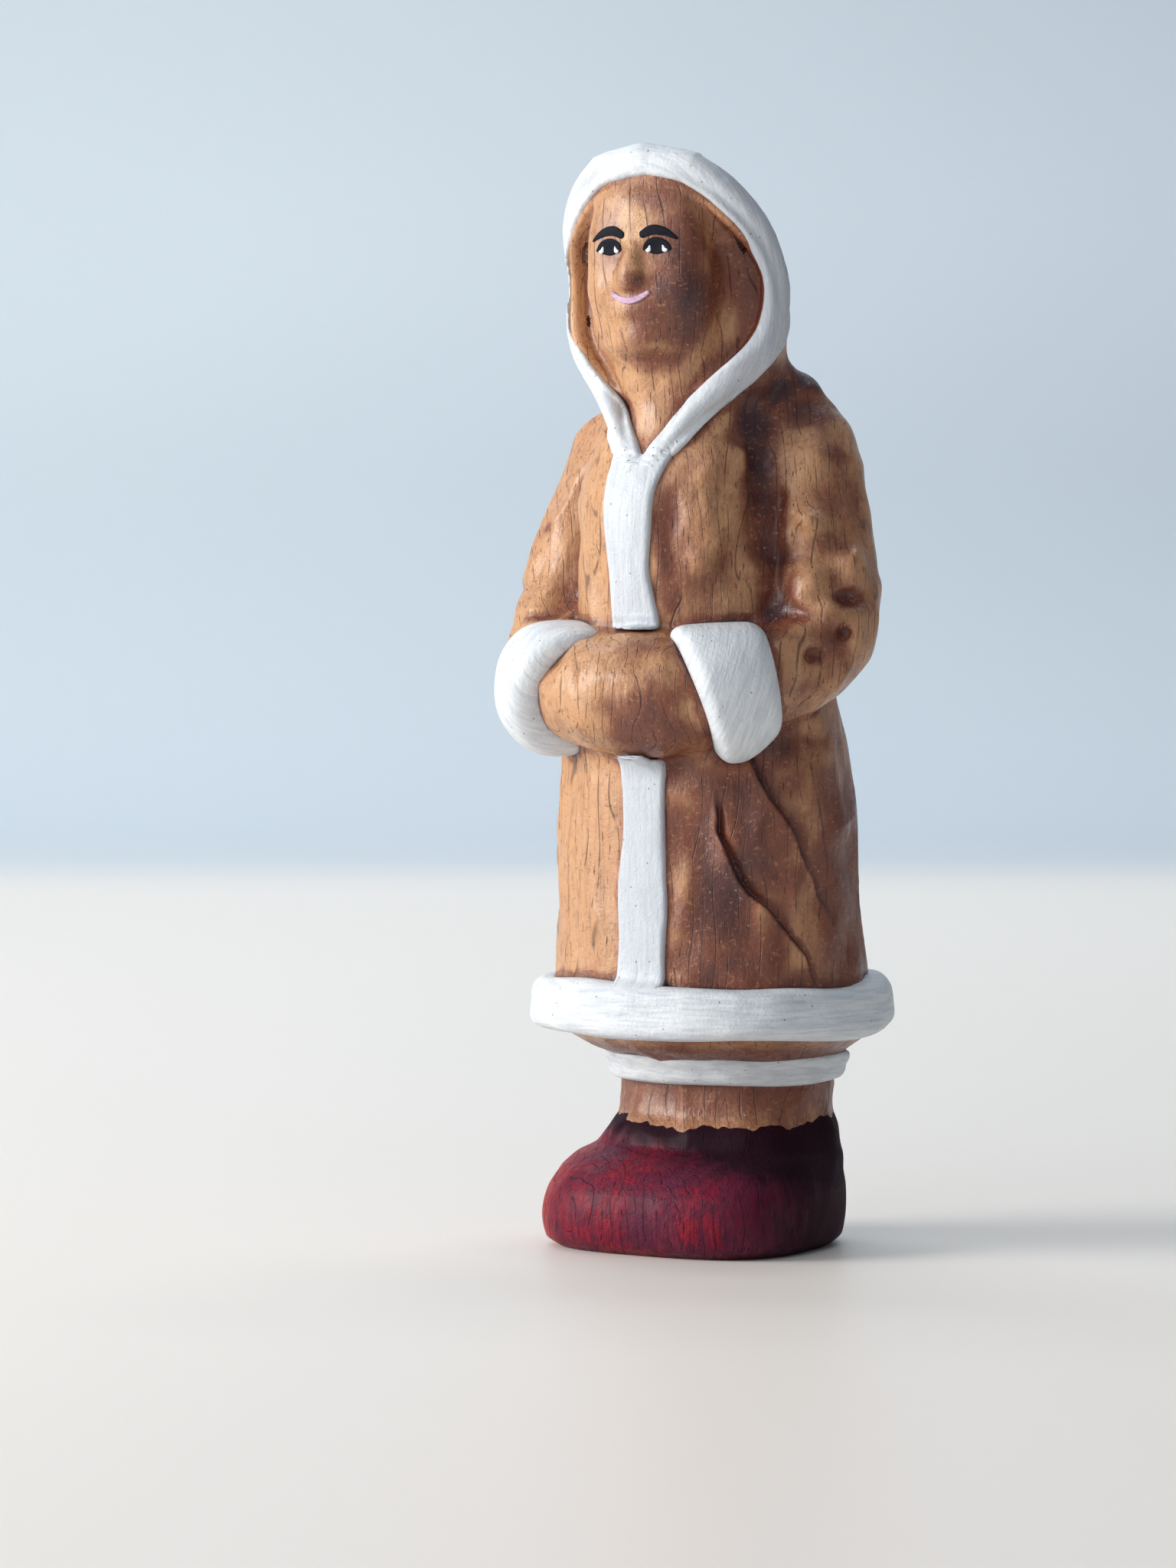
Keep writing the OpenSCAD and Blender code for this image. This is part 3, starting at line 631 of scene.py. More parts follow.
def ring_band(core, z0, z1, rise, r, seed, wave, droop=0.0):
    """A band round the figure, that stands rise above its core."""
    cut, x, y, z = G.part([-99, -99, z0 - 2], [99, 99, z1 + 2])
    out = loft(core, x, y, z)
    n1 = soft_noise(G, (7.0, 7.0, 30.0), seed, cut)
    n2 = soft_noise(G, (1.7, 1.7, 1.7), seed + 1, cut)
    n3 = soft_noise(G, (6.0, 6.0, 30.0), seed + 2, cut)
    mid = (z0 + z1) / 2 + wave * n1
    half = (z1 - z0) / 2 + wave * 0.5 * n3
    lean = droop * (z - mid) + 0.12 * np.exp(-((z - mid) / 0.3) ** 2) * (z1 - z0 < 4)
    f = round_box(np.abs(z - mid) - half, out - rise + lean - 0.05 * n2, r)
    return G.filled(cut, np.maximum(f, -2.2 - out))


def strip(z0, z1, centre, width, seed, flare=0.0, over=None):
    """A strip down the front, laid on the wood and on the trim that it runs over."""
    cut, x, y, z = G.part([-6, -22, z0 - 2], [6, -5, z1 + 2])
    zz = z.ravel()
    c = curve(centre, zz)[:, 0][None, None, :]
    w = curve(width, zz)[:, 0][None, None, :]
    edge = 0.16 * soft_noise(G, (4.0, 30.0, 4.0), seed, cut)
    s = skin[cut]
    if over is not None:
        s = smin(s, over[cut] + RISE - 0.06 + 0.35 * np.clip(HEM_HI - 0.2 - z, 0, 9), 1.2)
    side = round_box(np.abs(x - c) - w / 2 + edge, s - RISE + 0.05 * edge, 0.3)
    ends = np.maximum(z0 - z, z - z1 - flare * np.abs(x - c))
    f = smax(smax(side, ends, 0.35), -(s + 1.2), 0.2)
    return G.filled(cut, np.maximum(f, 0.3 - hands_f[cut]))


def cuff(side):
    """A thick turned-back ring; s runs from 0 on the sleeve to 1 at its mouth."""
    m = CUFF_MOUTH * [side, 1, 1]
    ahead = np.array([-side * math.cos(CUFF_TURN), -math.sin(CUFF_TURN)])
    across = np.array([side * math.sin(CUFF_TURN), -math.cos(CUFF_TURN)])
    cut, x, y, z = G.part(m - [14, 14, 10], m + [14, 14, 10])
    px, py, pz = x - m[0], y - m[1], z - m[2]
    along = px * ahead[0] + py * ahead[1]
    u = px * across[0] + py * across[1]
    s = 1 + along / CUFF_LEN
    for _ in range(3):
        v = pz - 1.4 * (1 - s)
        slant = np.tan(np.radians(9 + 13 * np.clip(s, -0.3, 1.3)))
        s = 1 + (along - v * slant) / CUFF_LEN
    n1 = soft_noise(G, (4.0, 4.0, 4.0), 40 + side, cut)
    n2 = soft_noise(G, (1.6, 1.6, 1.6), 50 + side, cut)
    r = np.sqrt(u * u + v * v)
    swell = CUFF_R - 1.0 + 1.0 * np.sqrt(np.clip(1 - (2 * s - 1) ** 2, 0, 1)) + 0.12 * n1
    swell = swell + 0.35 * np.clip(s, 0, 1) - (0.5 * smooth01(s, 0.55, 1.0) if side < 0 else 0)
    f = round_box((np.abs(s - 0.5) - 0.5) * CUFF_LEN + 0.1 * n1, r - swell - 0.04 * n2, 1.4)
    f = smax(f, z - HANDS_Z - 7.7, 1.6)
    f = smax(f, 0.55 * (1 - s) * CUFF_LEN - 0.84 * v - 8.6, 1.2)
    return G.filled(cut, f)


def hood_edging():
    """A flat band that follows the rim of the opening, from the V at the neck over the crown."""
    field = G.new()
    for side in (1, -1):
        rows = []
        for k in range(25):
            s = k / 24
            z = CHIN_V + (RIM_TOP - CHIN_V) * (s - 0.11 * math.sin(2 * math.pi * s))
            w, y = curve(OPENING, z)[0]
            low = min(1, max(0, (94 - z) / 8))
            high = min(1, max(0, (z - 102) / 8))
            r = 2.1 - 0.75 * min(1, max(0, (90 - z) / 7)) ** 0.8
            out = r * (0.2 + 0.6 * low + 0.4 * math.sin(math.pi * high))
            rows.append([k, side * (w + out), y + r * (1 - low) * (1 - 0.3 * high),
                         z + r * (1.15 * high - 0.5 * low), r])
        cut, x, y, z = G.part(*limb_box(rows, 2.0))
        edge = 0.1 * soft_noise(G, (3.0, 3.0, 3.0), 60 + side, cut)
        line = limb(rows, x, y, z, 30)
        s = smin(skin[cut] - RISE - 0.07 + 0.05 * edge, line + 0.8, 0.5)
        w = rim(z)[0][None, None, :]
        if side < 0:
            w = w + (1.1 * smooth01(z, 93.0, 96.5) * (1 - smooth01(z, 103.0, 106.5)))
        inner = (w - np.abs(x) - 0.05 + 0.6 * edge) * 0.9
        f = smax(round_box(line + edge, s, 0.35), inner, 0.3)
        field[cut] = smin(field[cut], f, 0.7)
    return field


hem_f = ring_band(HEM_CORE, HEM_LO + 0.05, HEM_HI - 0.05, 2.6, 1.5, 21, 0.2, 0.08)
trims = {
    "hem_band": hem_f,
    "underskirt_band": ring_band(LEG_CORE, BAND_LO, BAND_HI, 1.35, 0.7, 25, 0.1, -0.3),
    "lower_placket": strip(HEM_HI - 1.9, 52.1, [[20, -0.1], [38, 0.1], [52, 0.1]],
                           [[20, 7.4], [24.5, 6.9], [27, 6.0], [42, 5.5], [52, 5.9]],
                           31, 0.0, hem_f),
    "upper_placket": strip(64.9, CHIN_V + 0.2,
                           [[60, -0.1], [66, -0.1], [72, -0.7], [79, -0.7], [84, -0.1]],
                           [[60, 5.3], [66, 5.5], [72, 5.8], [79, 6.2], [82, 6.7], [84, 7.6],
                            [86, 9.2]],
                           33, 0.75),
    "hood_trim": hood_edging(),
    "left_cuff": cuff(1),
    "right_cuff": cuff(-1)}
trims["lower_placket"] = smax(trims["lower_placket"], -(trims["hem_band"] + 0.6), 0.1)
trims["hood_trim"] = smax(trims["hood_trim"], -0.15 - trims["upper_placket"], 0.1)

# how deep each place lies in a hollow, at two sizes: it sets the glaze and painted shade
union = wood.copy()
for t in trims.values():
    union = np.minimum(union, t)
fill = np.clip(0.5 - union / (2 * STEP), 0, 1).astype(np.float32)
hollow_fine = blurred(fill, 0.8)
hollow_wide = blurred(fill, 2.2)
del fill


# ---- meshing ----------------------------------------------------------------

def surface(field, grid):
    """Closed mesh of the zero surface: points, four-sided faces, outward normals."""
    inside = field < 0
    total = np.zeros(np.array(field.shape) - 1, np.int8)
    for corner in CORNERS:
        total += inside[tuple(slice(k, k + n) for k, n in zip(corner, total.shape))]
    live = (total > 0) & (total < 8)
    cells = np.argwhere(live)
    number = np.full(total.shape, -1, np.int64)
    number[live] = np.arange(len(cells))
    pts = np.zeros((len(cells), 3))
    hits = np.zeros(len(cells))
    for a in range(3):
        b, c = (a + 1) % 3, (a + 2) % 3
        for ob, oc in product((0, 1), repeat=2):
            p0 = cells.copy()
            p0[:, b] += ob
            p0[:, c] += oc
            p1 = p0.copy()
            p1[:, a] += 1
            f0, f1 = field[tuple(p0.T)], field[tuple(p1.T)]
            m = (f0 < 0) != (f1 < 0)
            t = f0[m] / (f0[m] - f1[m])
            q = p0[m].astype(float)
            q[:, a] += t
            pts[m] += q
            hits[m] += 1
    pts = grid.lo + grid.step * pts / hits[:, None]
    faces = []
    for a in range(3):
        b, c = (a + 1) % 3, (a + 2) % 3
        lo = [slice(None)] * 3
        hi = [slice(None)] * 3
        lo[a], hi[a] = slice(0, -1), slice(1, None)
        first, last = inside[tuple(lo)], inside[tuple(hi)]
        e = np.argwhere(first != last)
        keep = (e[:, b] > 0) & (e[:, c] > 0)
        keep &= (e[:, b] < total.shape[b]) & (e[:, c] < total.shape[c])
        e = e[keep]
        quad = []
        for ob, oc in ((-1, -1), (0, -1), (0, 0), (-1, 0)):
            q = e.copy()
            q[:, b] += ob
            q[:, c] += oc
            quad.append(number[tuple(q.T)])
        quad = np.stack(quad, 1)
        flip = ~first[tuple(e.T)]
        quad[flip] = quad[flip][:, ::-1]
        faces.append(quad)
    faces = np.concatenate(faces)
    for _ in range(2):
        g = grid.slope(field, pts)
        f = grid.sample(field, pts)
        move = f[:, None] * g / np.maximum((g * g).sum(1), 0.2)[:, None]
        size = np.linalg.norm(move, axis=1, keepdims=True)
        pts = pts - move * np.minimum(1, 0.4 * grid.step / np.maximum(size, 1e-9))
    return pts, faces, unit(grid.slope(field, pts))


def unit(v):
    return v / np.maximum(np.linalg.norm(v, axis=1, keepdims=True), 1e-9)


def cut_mesh(pts, nrm, tris, label, value, where, new):
    """Splits triangles along value = 0; those below it get a new label if theirs is in where."""
    value = np.where(np.abs(value) < 0.02, 0.02, value)
    below = value < 0
    n_below = below[tris].sum(1)
    mixed = (n_below > 0) & (n_below < 3)
    whole = ~mixed
    whole_new = np.where((n_below == 3) & np.isin(label, where), new, label)[whole]
    t = tris[mixed]
    single_below = n_below[mixed] == 1
    odd = below[t] == single_below[:, None]
    first = np.argmax(odd, 1)
    rows = np.arange(len(t))
    a, b, c = t[rows, first], t[rows, (first + 1) % 3], t[rows, (first + 2) % 3]
    pairs = np.concatenate([np.sort(np.stack([a, b], 1), 1), np.sort(np.stack([a, c], 1), 1)])
    uniq, inv = np.unique(pairs, axis=0, return_inverse=True)
    inv = inv.ravel()
    v0, v1 = value[uniq[:, 0]], value[uniq[:, 1]]
    f = (v0 / (v0 - v1))[:, None]
    new_pts = pts[uniq[:, 0]] * (1 - f) + pts[uniq[:, 1]] * f
    new_nrm = unit(nrm[uniq[:, 0]] * (1 - f) + nrm[uniq[:, 1]] * f)
    ab, ac = inv[:len(t)] + len(pts), inv[len(t):] + len(pts)
    tip = np.stack([a, ab, ac], 1)
    base1, base2 = np.stack([ab, b, c], 1), np.stack([ab, c, ac], 1)
    old = label[mixed]
    lower = np.where(np.isin(old, where), new, old)
    tip_label = np.where(single_below, lower, old)
    base_label = np.where(single_below, old, lower)
    return (np.concatenate([pts, new_pts]), np.concatenate([nrm, new_nrm]),
            np.concatenate([tris[whole], tip, base1, base2]),
            np.concatenate([whole_new, tip_label, base_label, base_label]))


SHELL = 0.7      # how far a cut piece keeps its own thickness before the fan


def closed(pts, nrm, tris):
    """Closes a cut piece with a hidden fan behind each open edge, deep in the wood."""
    used, tris = np.unique(tris, return_inverse=True)
    tris = tris.reshape(-1, 3)
    pts, nrm = pts[used], nrm[used]
    half = np.concatenate([tris[:, [0, 1]], tris[:, [1, 2]], tris[:, [2, 0]]])
    code = half[:, 0] * len(pts) + half[:, 1]
    back = half[:, 1] * len(pts) + half[:, 0]
    rim_edges = half[~np.isin(code, back)]
    if not len(rim_edges):
        return pts, nrm, tris
    following = {}
    for a, b in rim_edges:
        following.setdefault(int(a), []).append(int(b))
    extra_p, extra_n, extra_t = [], [], []
    while following:
        start = next(iter(following))
        loop, here = [], start
        while here in following:
            loop.append(here)
            nxt = following[here].pop()
            if not following[here]:
                del following[here]
            here = nxt
        ring = np.array(loop)
        base = len(pts) + len(extra_p)
        inner = pts[ring] - SHELL * nrm[ring]
        middle = pts[ring].mean(0)
        hood_core = -1.5 * smooth01(middle[2], 80, 90)
        goal = np.array([middle[0] * 0.4, middle[1] * 0.2 + hood_core, middle[2]])
        m = len(ring)
        extra_p.extend(inner)
        extra_n.extend(nrm[ring])
        extra_p.append(goal)
        extra_n.append([0, 0, 1])
        centre = base + m
        for k in range(m):
            j = (k + 1) % m
            a, b = ring[k], ring[j]
            extra_t += [[b, a, base + k], [b, base + k, base + j], [base + j, base + k, centre]]
    return (np.concatenate([pts, np.array(extra_p)]), np.concatenate([nrm, np.array(extra_n)]),
            np.concatenate([tris, np.array(extra_t)]))


SAFE = 0.01      # how far the visual stays inside the CAD's box


def make_object(name, pts, faces, nrm, layers):
    pts = np.clip(pts, LO + [SAFE, SAFE, 0.0], HI - SAFE)
    mesh = bpy.data.meshes.new(name)
    mesh.vertices.add(len(pts))
    mesh.vertices.foreach_set("co", (pts * 0.001).astype(np.float32).ravel())
    k = faces.shape[1]
    mesh.loops.add(faces.size)
    mesh.loops.foreach_set("vertex_index", faces.astype(np.int32).ravel())
    mesh.polygons.add(len(faces))
    mesh.polygons.foreach_set("loop_start", np.arange(0, faces.size, k, dtype=np.int32))
    mesh.update(calc_edges=True)
    mesh.validate(clean_customdata=False)
    mesh.polygons.foreach_set("use_smooth", np.ones(len(mesh.polygons), bool))
    mesh.normals_split_custom_set_from_vertices(nrm.astype(np.float32))
    for key, v in layers.items():
        kind = "FLOAT_VECTOR" if v.ndim == 2 else "FLOAT"
        layer = mesh.attributes.new(key, kind, "POINT")
        layer.data.foreach_set("vector" if v.ndim == 2 else "value",
                               v.astype(np.float32).ravel())
    obj = bpy.data.objects.new(name, mesh)
    bpy.context.scene.collection.objects.link(obj)
    return obj


def hollows(pts, nrm):
    """How far each point sits in a hollow, at two sizes: 0.5 is flat; and the glaze with painted
    shade and highlight laid at it.
    """
    p = pts + nrm * 0.15
    return {"hollow_fine": G.sample(hollow_fine, p), "hollow_wide": G.sample(hollow_wide, p),
            "glaze_and_painted_shading": G.sample(glaze_and_painted_shading, pts)}


# ---- materials --------------------------------------------------------------

class Nodes:
    """One material, and short ways to add its nodes."""

    def __init__(self, name):
        self.mat = bpy.data.materials.new(name)
        self.mat.use_nodes = True
        self.tree = self.mat.node_tree
        self.tree.nodes.clear()
        out = self.tree.nodes.new("ShaderNodeOutputMaterial")
        self.bsdf = self.tree.nodes.new("ShaderNodeBsdfPrincipled")
        self.tree.links.new(self.bsdf.outputs[0], out.inputs[0])

    def put(self, socket, value):
        if isinstance(value, bpy.types.NodeSocket):
            self.tree.links.new(value, socket)
        elif isinstance(value, (tuple, list)) and len(value) == 3 and socket.type == "RGBA":
            socket.default_value = (*value, 1)
        else:
            socket.default_value = value

    def add(self, kind, inputs, out=0, **settings):
        """A node's output; its inputs are set by number or by name."""
        node = self.tree.nodes.new("ShaderNode" + kind)
        for key, value in settings.items():
            setattr(node, key, value)
        for key, value in inputs.items():
            self.put(node.inputs[key], value)
        return node.outputs[out]

    def object_place(self):
        """Object coordinates, in metres."""
        return self.add("TexCoord", {}, 3)

    def place(self):
        """Object coordinates, in millimetres."""
        return self.add("VectorMath", {0: self.object_place(), "Scale": 1000.0},
                        operation="SCALE")

    def axis(self, vec, k):
        return self.add("SeparateXYZ", {0: vec}, k)

    def dot(self, vec, direction):
        return self.add("VectorMath", {0: vec, 1: direction}, 1, operation="DOT_PRODUCT")

    def stretch(self, vec, scale):
        return self.add("VectorMath", {0: vec, 1: scale}, operation="MULTIPLY")

    def math(self, op, a, b=0.0):
        return self.add("Math", {0: a, 1: b}, operation=op)

    def plus(self, a, b):
        return self.math("ADD", a, b)

    def less(self, a, b):
        return self.math("SUBTRACT", a, b)

    def times(self, a, b):
        return self.math("MULTIPLY", a, b)

    def most(self, a, b):
        return self.math("MAXIMUM", a, b)

    def span(self, v, lo, hi, to_lo=0.0, to_hi=1.0):
        """v, carried smoothly from lo..hi to to_lo..to_hi."""
        values = enumerate((v, lo, hi, to_lo, to_hi))
        return self.add("MapRange", dict(values), interpolation_type="SMOOTHSTEP")

    def mix(self, fac, a, b):
        return self.add("Mix", {0: fac, 6: a, 7: b}, 2, data_type="RGBA")

    def washes(self, base, rows):
        """Lays colours over base; each row is mask, lo, hi, weight, colour."""
        for mask, lo, hi, weight, color in rows:
            base = self.mix(self.span(mask, lo, hi, 0, weight), base, color)
        return base

    def noise(self, vec, stretch, detail=3.0, rough=0.6, distort=0.0):
        return self.add("TexNoise", {"Vector": self.stretch(vec, stretch), "Scale": 1.0,
                                     "Detail": detail, "Roughness": rough,
                                     "Distortion": distort})

    def cells(self, vec, scale=1.0):
        return self.add("TexVoronoi", {"Vector": vec, "Scale": scale}, feature="F1")

    def layer(self, name, out=2):
        return self.add("Attribute", {}, out, attribute_name=name)

    def bumps(self, rows):
        """Bumps laid over each other; each row is height, distance, strength."""
        normal = None
        for height, distance, strength in rows:
            inputs = {"Height": height, "Distance": distance, "Strength": strength}
            if normal is not None:
                inputs["Normal"] = normal
            normal = self.add("Bump", inputs)
        return normal

    def finish(self, color, rough, normal, **fixed):
        self.put(self.bsdf.inputs["Base Color"], color)
        self.put(self.bsdf.inputs["Roughness"], rough)
        self.put(self.bsdf.inputs["Normal"], normal)
        for key, value in fixed.items():
            self.bsdf.inputs[key.replace("_", " ")].default_value = value
        return self.mat


def pores(n, p, across, along, size):
    """Short dark flecks that run with the grain: 1 in a fleck, 0 outside."""
    wav = n.noise(p, (0.35, 0.35, 0.08), 1.0, 0.5)
    sway = n.add("VectorMath", {0: wav, "Scale": 0.6}, operation="SCALE")
    bent = n.add("VectorMath", {0: p, 1: sway}, operation="ADD")
    d = n.cells(n.stretch(bent, (1 / across, 1 / across, 1 / along)))
    return n.span(d, size, size * 0.35)


def ring_lines(n, p):
    """Thin broken lines where growth rings meet the surface."""
    wander = n.noise(p, (0.12, 0.12, 0.03), 2.0, 0.5)
    ring = n.plus(n.dot(p, (0.62, 0.45, 0.0)), n.times(wander, 7.0))
    ring = n.math("ABSOLUTE", n.less(n.math("FRACT", ring), 0.5))
    dash = n.noise(p, (0.9, 0.9, 0.2))
    return n.times(n.span(ring, 0.06, 0.015), n.span(dash, 0.42, 0.56))


def red_stain_and_shading(n, p, tone, fibre, blot, patch):
    """Colour of the boots, and how far each point is under the near black at the ankles: a dark
    wash at their top, carried down the side away from the window and into the creases as painted
    shade.
    """
    x, y, z = (n.axis(p, k) for k in range(3))
    plum = (0.085, 0.012, 0.034)
    cloud = n.noise(p, (0.2, 0.2, 0.26), 2.0, 0.5)
    toe = n.plus(x, n.times(patch, 7.0))
    base = n.mix(n.span(tone, 0.35, 0.68), (0.25, 0.011, 0.026), (0.13, 0.010, 0.032))
    base = n.washes(base, (
        (cloud, 0.48, 0.62, 0.6, (0.105, 0.024, 0.050)),
        (fibre, 0.42, 0.7, 0.68, (0.040, 0.006, 0.020)),
        (blot, 0.42, 0.62, 0.75, plum),
        (toe, -5.0, -11.0, 0.75, (0.34, 0.028, 0.020))))
    # the near black: a dark wash at the top, carried down the side away from the window and into
    # the creases as painted shade
    wrap = n.plus(n.times(x, 0.2), n.times(y, 0.16))
    up = n.plus(n.plus(z, wrap), n.times(patch, 4.0))
    shade_side = n.plus(n.plus(n.times(x, 0.5), n.times(y, 0.35)), n.times(patch, 6.0))
    crease = n.plus(n.layer("hollow_fine"), n.times(patch, 0.1))
    dark = n.most(n.span(up, 9.2, 12.4), n.span(shade_side, 3.5, 9.5, 0, 0.92))
    dark = n.most(dark, n.span(crease, 0.56, 0.66))
    return n.mix(dark, base, (0.016, 0.002, 0.008)), dark


def brown_stain_and_shading(n, p, tone, fibre, blot, patch):
    """Colour of the stained wood, with the glaze that darkens its hollows; painted shade in its
    hollows and on the side away from the window, and painted highlight on its ridges, its
    swellings and in pale specks.
    """
    fine, wide = n.layer("hollow_fine"), n.layer("hollow_wide")
    band = n.noise(p, (0.55, 0.55, 0.03), 2.0, 0.5, 0.4)
    chip = n.noise(p, (1.5, 1.5, 2.2), 3.0, 0.7)
    # darker on the side away from the window: painted shade
    shade_side = n.plus(n.dot(p, (0.84, 0.54, 0.0)), n.times(tone, 10.0))
    spread = n.less(patch, 0.5)
    # paler on ridges, as wear and painted highlight, and darker in hollows, as glaze and painted
    # shade
    relief = n.plus(fine, n.times(spread, 0.12))
    ragged = n.times(spread, 0.6)
    # the marks laid on the mesh: glaze and painted shade above 0, painted highlight below 0
    glaze_shading_mask = n.plus(n.layer("glaze_and_painted_shading"), ragged)
    base = n.mix(n.span(tone, 0.35, 0.65), (0.565, 0.296, 0.140), (0.36, 0.148, 0.076))
    base = n.mix(n.times(n.span(shade_side, -5.0, 11.0), 0.85), base, (0.225, 0.064, 0.035))
    base = n.washes(base, (
        (blot, 0.5, 0.36, 0.5, (0.56, 0.29, 0.155)),
        (blot, 0.52, 0.68, 0.6, (0.21, 0.056, 0.030)),
        (relief, 0.5, 0.465, 0.6, (0.60, 0.337, 0.17)),
        (relief, 0.505, 0.55, 0.7, (0.17, 0.046, 0.026)),
        (band, 0.42, 0.62, 0.3, (0.56, 0.286, 0.128)),
        (fibre, 0.48, 0.78, 0.6, (0.16, 0.052, 0.03)),
        (glaze_shading_mask, -0.12, -0.55, 0.75, (0.60, 0.34, 0.20)),
        (glaze_shading_mask, 0.05, 0.6, 0.9, (0.168, 0.042, 0.022))))
    # near black in hollows and under the darkest marks: glaze with painted shade
    near_black_glaze_and_shade = n.most(n.span(n.plus(wide, n.times(ragged, 0.12)), 0.62, 0.8, 0, 0.6),
                   n.span(n.plus(fine, n.times(ragged, 0.1)), 0.6, 0.72))
    near_black_glaze_and_shade = n.most(near_black_glaze_and_shade, n.span(glaze_shading_mask, 0.5, 1.15))
    base = n.mix(n.times(near_black_glaze_and_shade, 0.9), base, (0.042, 0.016, 0.023))
    return n.washes(base, (
        (chip, 0.56, 0.72, 0.5, (0.12, 0.038, 0.028)),
        (chip, 0.44, 0.3, 0.4, (0.52, 0.27, 0.15)),
        # small pale specks: painted glints
        (n.cells(p, 0.6), 0.075, 0.04, 0.4, (0.66, 0.56, 0.50))))


def wood_finish(name, red=False):
    n = Nodes(name)
    p = n.place()
    fibre = n.noise(p, (2.2, 2.2, 0.12), 4.0)
    looks = (n, p, n.noise(p, (0.11, 0.11, 0.05), 3.0, 0.55), fibre,
             n.noise(p, (0.9, 0.9, 0.6), 3.0, 0.55, 0.6), n.noise(p, (0.5, 0.5, 0.26), 4.0, 0.62))
    fleck = n.most(pores(n, p, 0.6, 4.6, 0.16), n.times(pores(n, p, 0.36, 3.2, 0.15), 0.8))
    fleck = n.most(fleck, n.times(ring_lines(n, p), 0.9))
    gloss = n.plus(n.noise(p, (0.9, 0.9, 0.5)), n.times(fleck, 0.3))
    if red:
        base, dark = red_stain_and_shading(*looks)
        fleck_color = (0.01, 0.004, 0.008)
        rough = n.most(n.span(gloss, 0.3, 0.75, 0.36, 0.6), n.times(dark, 0.85))
    else:
        base, fleck_color = brown_stain_and_shading(*looks), (0.05, 0.018, 0.014)
        rough = n.span(gloss, 0.3, 0.75, 0.3, 0.54)
    base = n.mix(n.times(fleck, 0.68), base, fleck_color)
    normal = n.bumps(((n.noise(p, (1.6, 1.6, 1.0), 3.0, 0.65), 0.0002, 0.7),
                      (n.noise(p, (2.4, 2.4, 4.5), 3.0, 0.65), 0.00007, 0.8),
                      (n.less(n.times(fibre, 0.35), fleck), 0.0001, 0.8)))
    return n.finish(base, rough, normal, Coat_Weight=0.05 if red else 0.2, Coat_Roughness=0.26,
                    Specular_IOR_Level=0.12 if red else 0.4)


def white_paint(name):
    n = Nodes(name)
    p = n.place()
    flow = n.layer("brush", 1)
    streak = n.noise(flow, (0.22, 2.6, 1.0), 4.0, 0.6, 0.5)
    broad = n.noise(flow, (0.12, 0.5, 1.0))
    mottle = n.noise(p, (0.7, 0.7, 0.7))
    base = n.mix(n.span(streak, 0.38, 0.66), (0.73, 0.77, 0.80), (0.59, 0.63, 0.68))
    base = n.washes(base, ((broad, 0.45, 0.7, 0.5, (0.50, 0.55, 0.62)),
                           (mottle, 0.58, 0.78, 0.35, (0.86, 0.89, 0.90))))
    # greyer on the left side of the hood, away from the window, as painted shade; and greyer on
    # the plackets
    side = n.times(n.span(n.axis(p, 0), 4.0, 11.0), n.span(n.axis(p, 2), 84.0, 96.0))
    base = n.mix(n.times(side, n.span(streak, 0.2, 0.6, 0.4, 0.9)), base, (0.47, 0.50, 0.56))
    base = n.mix(n.layer("thin"), base, (0.50, 0.54, 0.60))
    worn = n.times(n.span(streak, 0.56, 0.7), n.span(broad, 0.5, 0.66))
    base = n.mix(n.times(worn, 0.3), base, (0.42, 0.36, 0.36))
    pin = n.cells(n.stretch(p, (0.75, 0.75, 0.6)))
    # dark where the paint meets a hollow: a knife line with painted shade
    edge = n.plus(n.layer("hollow_fine"), n.times(n.less(mottle, 0.5), 0.12))
    base = n.washes(base, ((pin, 0.09, 0.05, 0.7, (0.12, 0.09, 0.09)),
                           (edge, 0.6, 0.7, 0.85, (0.10, 0.06, 0.07))))
    crumb = n.noise(p, (2.6, 2.6, 2.6), 3.0, 0.7)
    normal = n.bumps(((mottle, 0.00015, 0.6), (crumb, 0.00009, 0.8), (streak, 0.00008, 0.7)))
    return n.finish(base, n.span(mottle, 0.3, 0.7, 0.42, 0.6), normal, Specular_IOR_Level=0.45)


def stroke_paint(name, color, other, rough):
    n = Nodes(name)
    s = n.noise(n.place(), (1.2, 1.2, 4.0))
    base = n.mix(n.span(s, 0.35, 0.7), color, other)
    return n.finish(base, n.span(s, 0.3, 0.7, rough, rough + 0.15),
                    n.bumps(((s, 0.0001, 0.6),)), Specular_IOR_Level=0.14)


WOOD = wood_finish("stained_wood")
BOOT_RED = wood_finish("red_stained_wood", red=True)
WHITE = white_paint("white_paint")
INK = stroke_paint("dark_paint", (0.004, 0.005, 0.010), (0.009, 0.011, 0.020), 0.6)
EYE_WHITE = stroke_paint("eye_white_paint", (0.8, 0.82, 0.84), (0.68, 0.7, 0.74), 0.4)
LIP = stroke_paint("lip_paint", (0.62, 0.44, 0.58), (0.5, 0.32, 0.44), 0.4)


def dress(obj, node, material):
    obj.data.materials.append(material)
    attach(obj, "root")
    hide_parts(node)


# ---- the pieces -------------------------------------------------------------

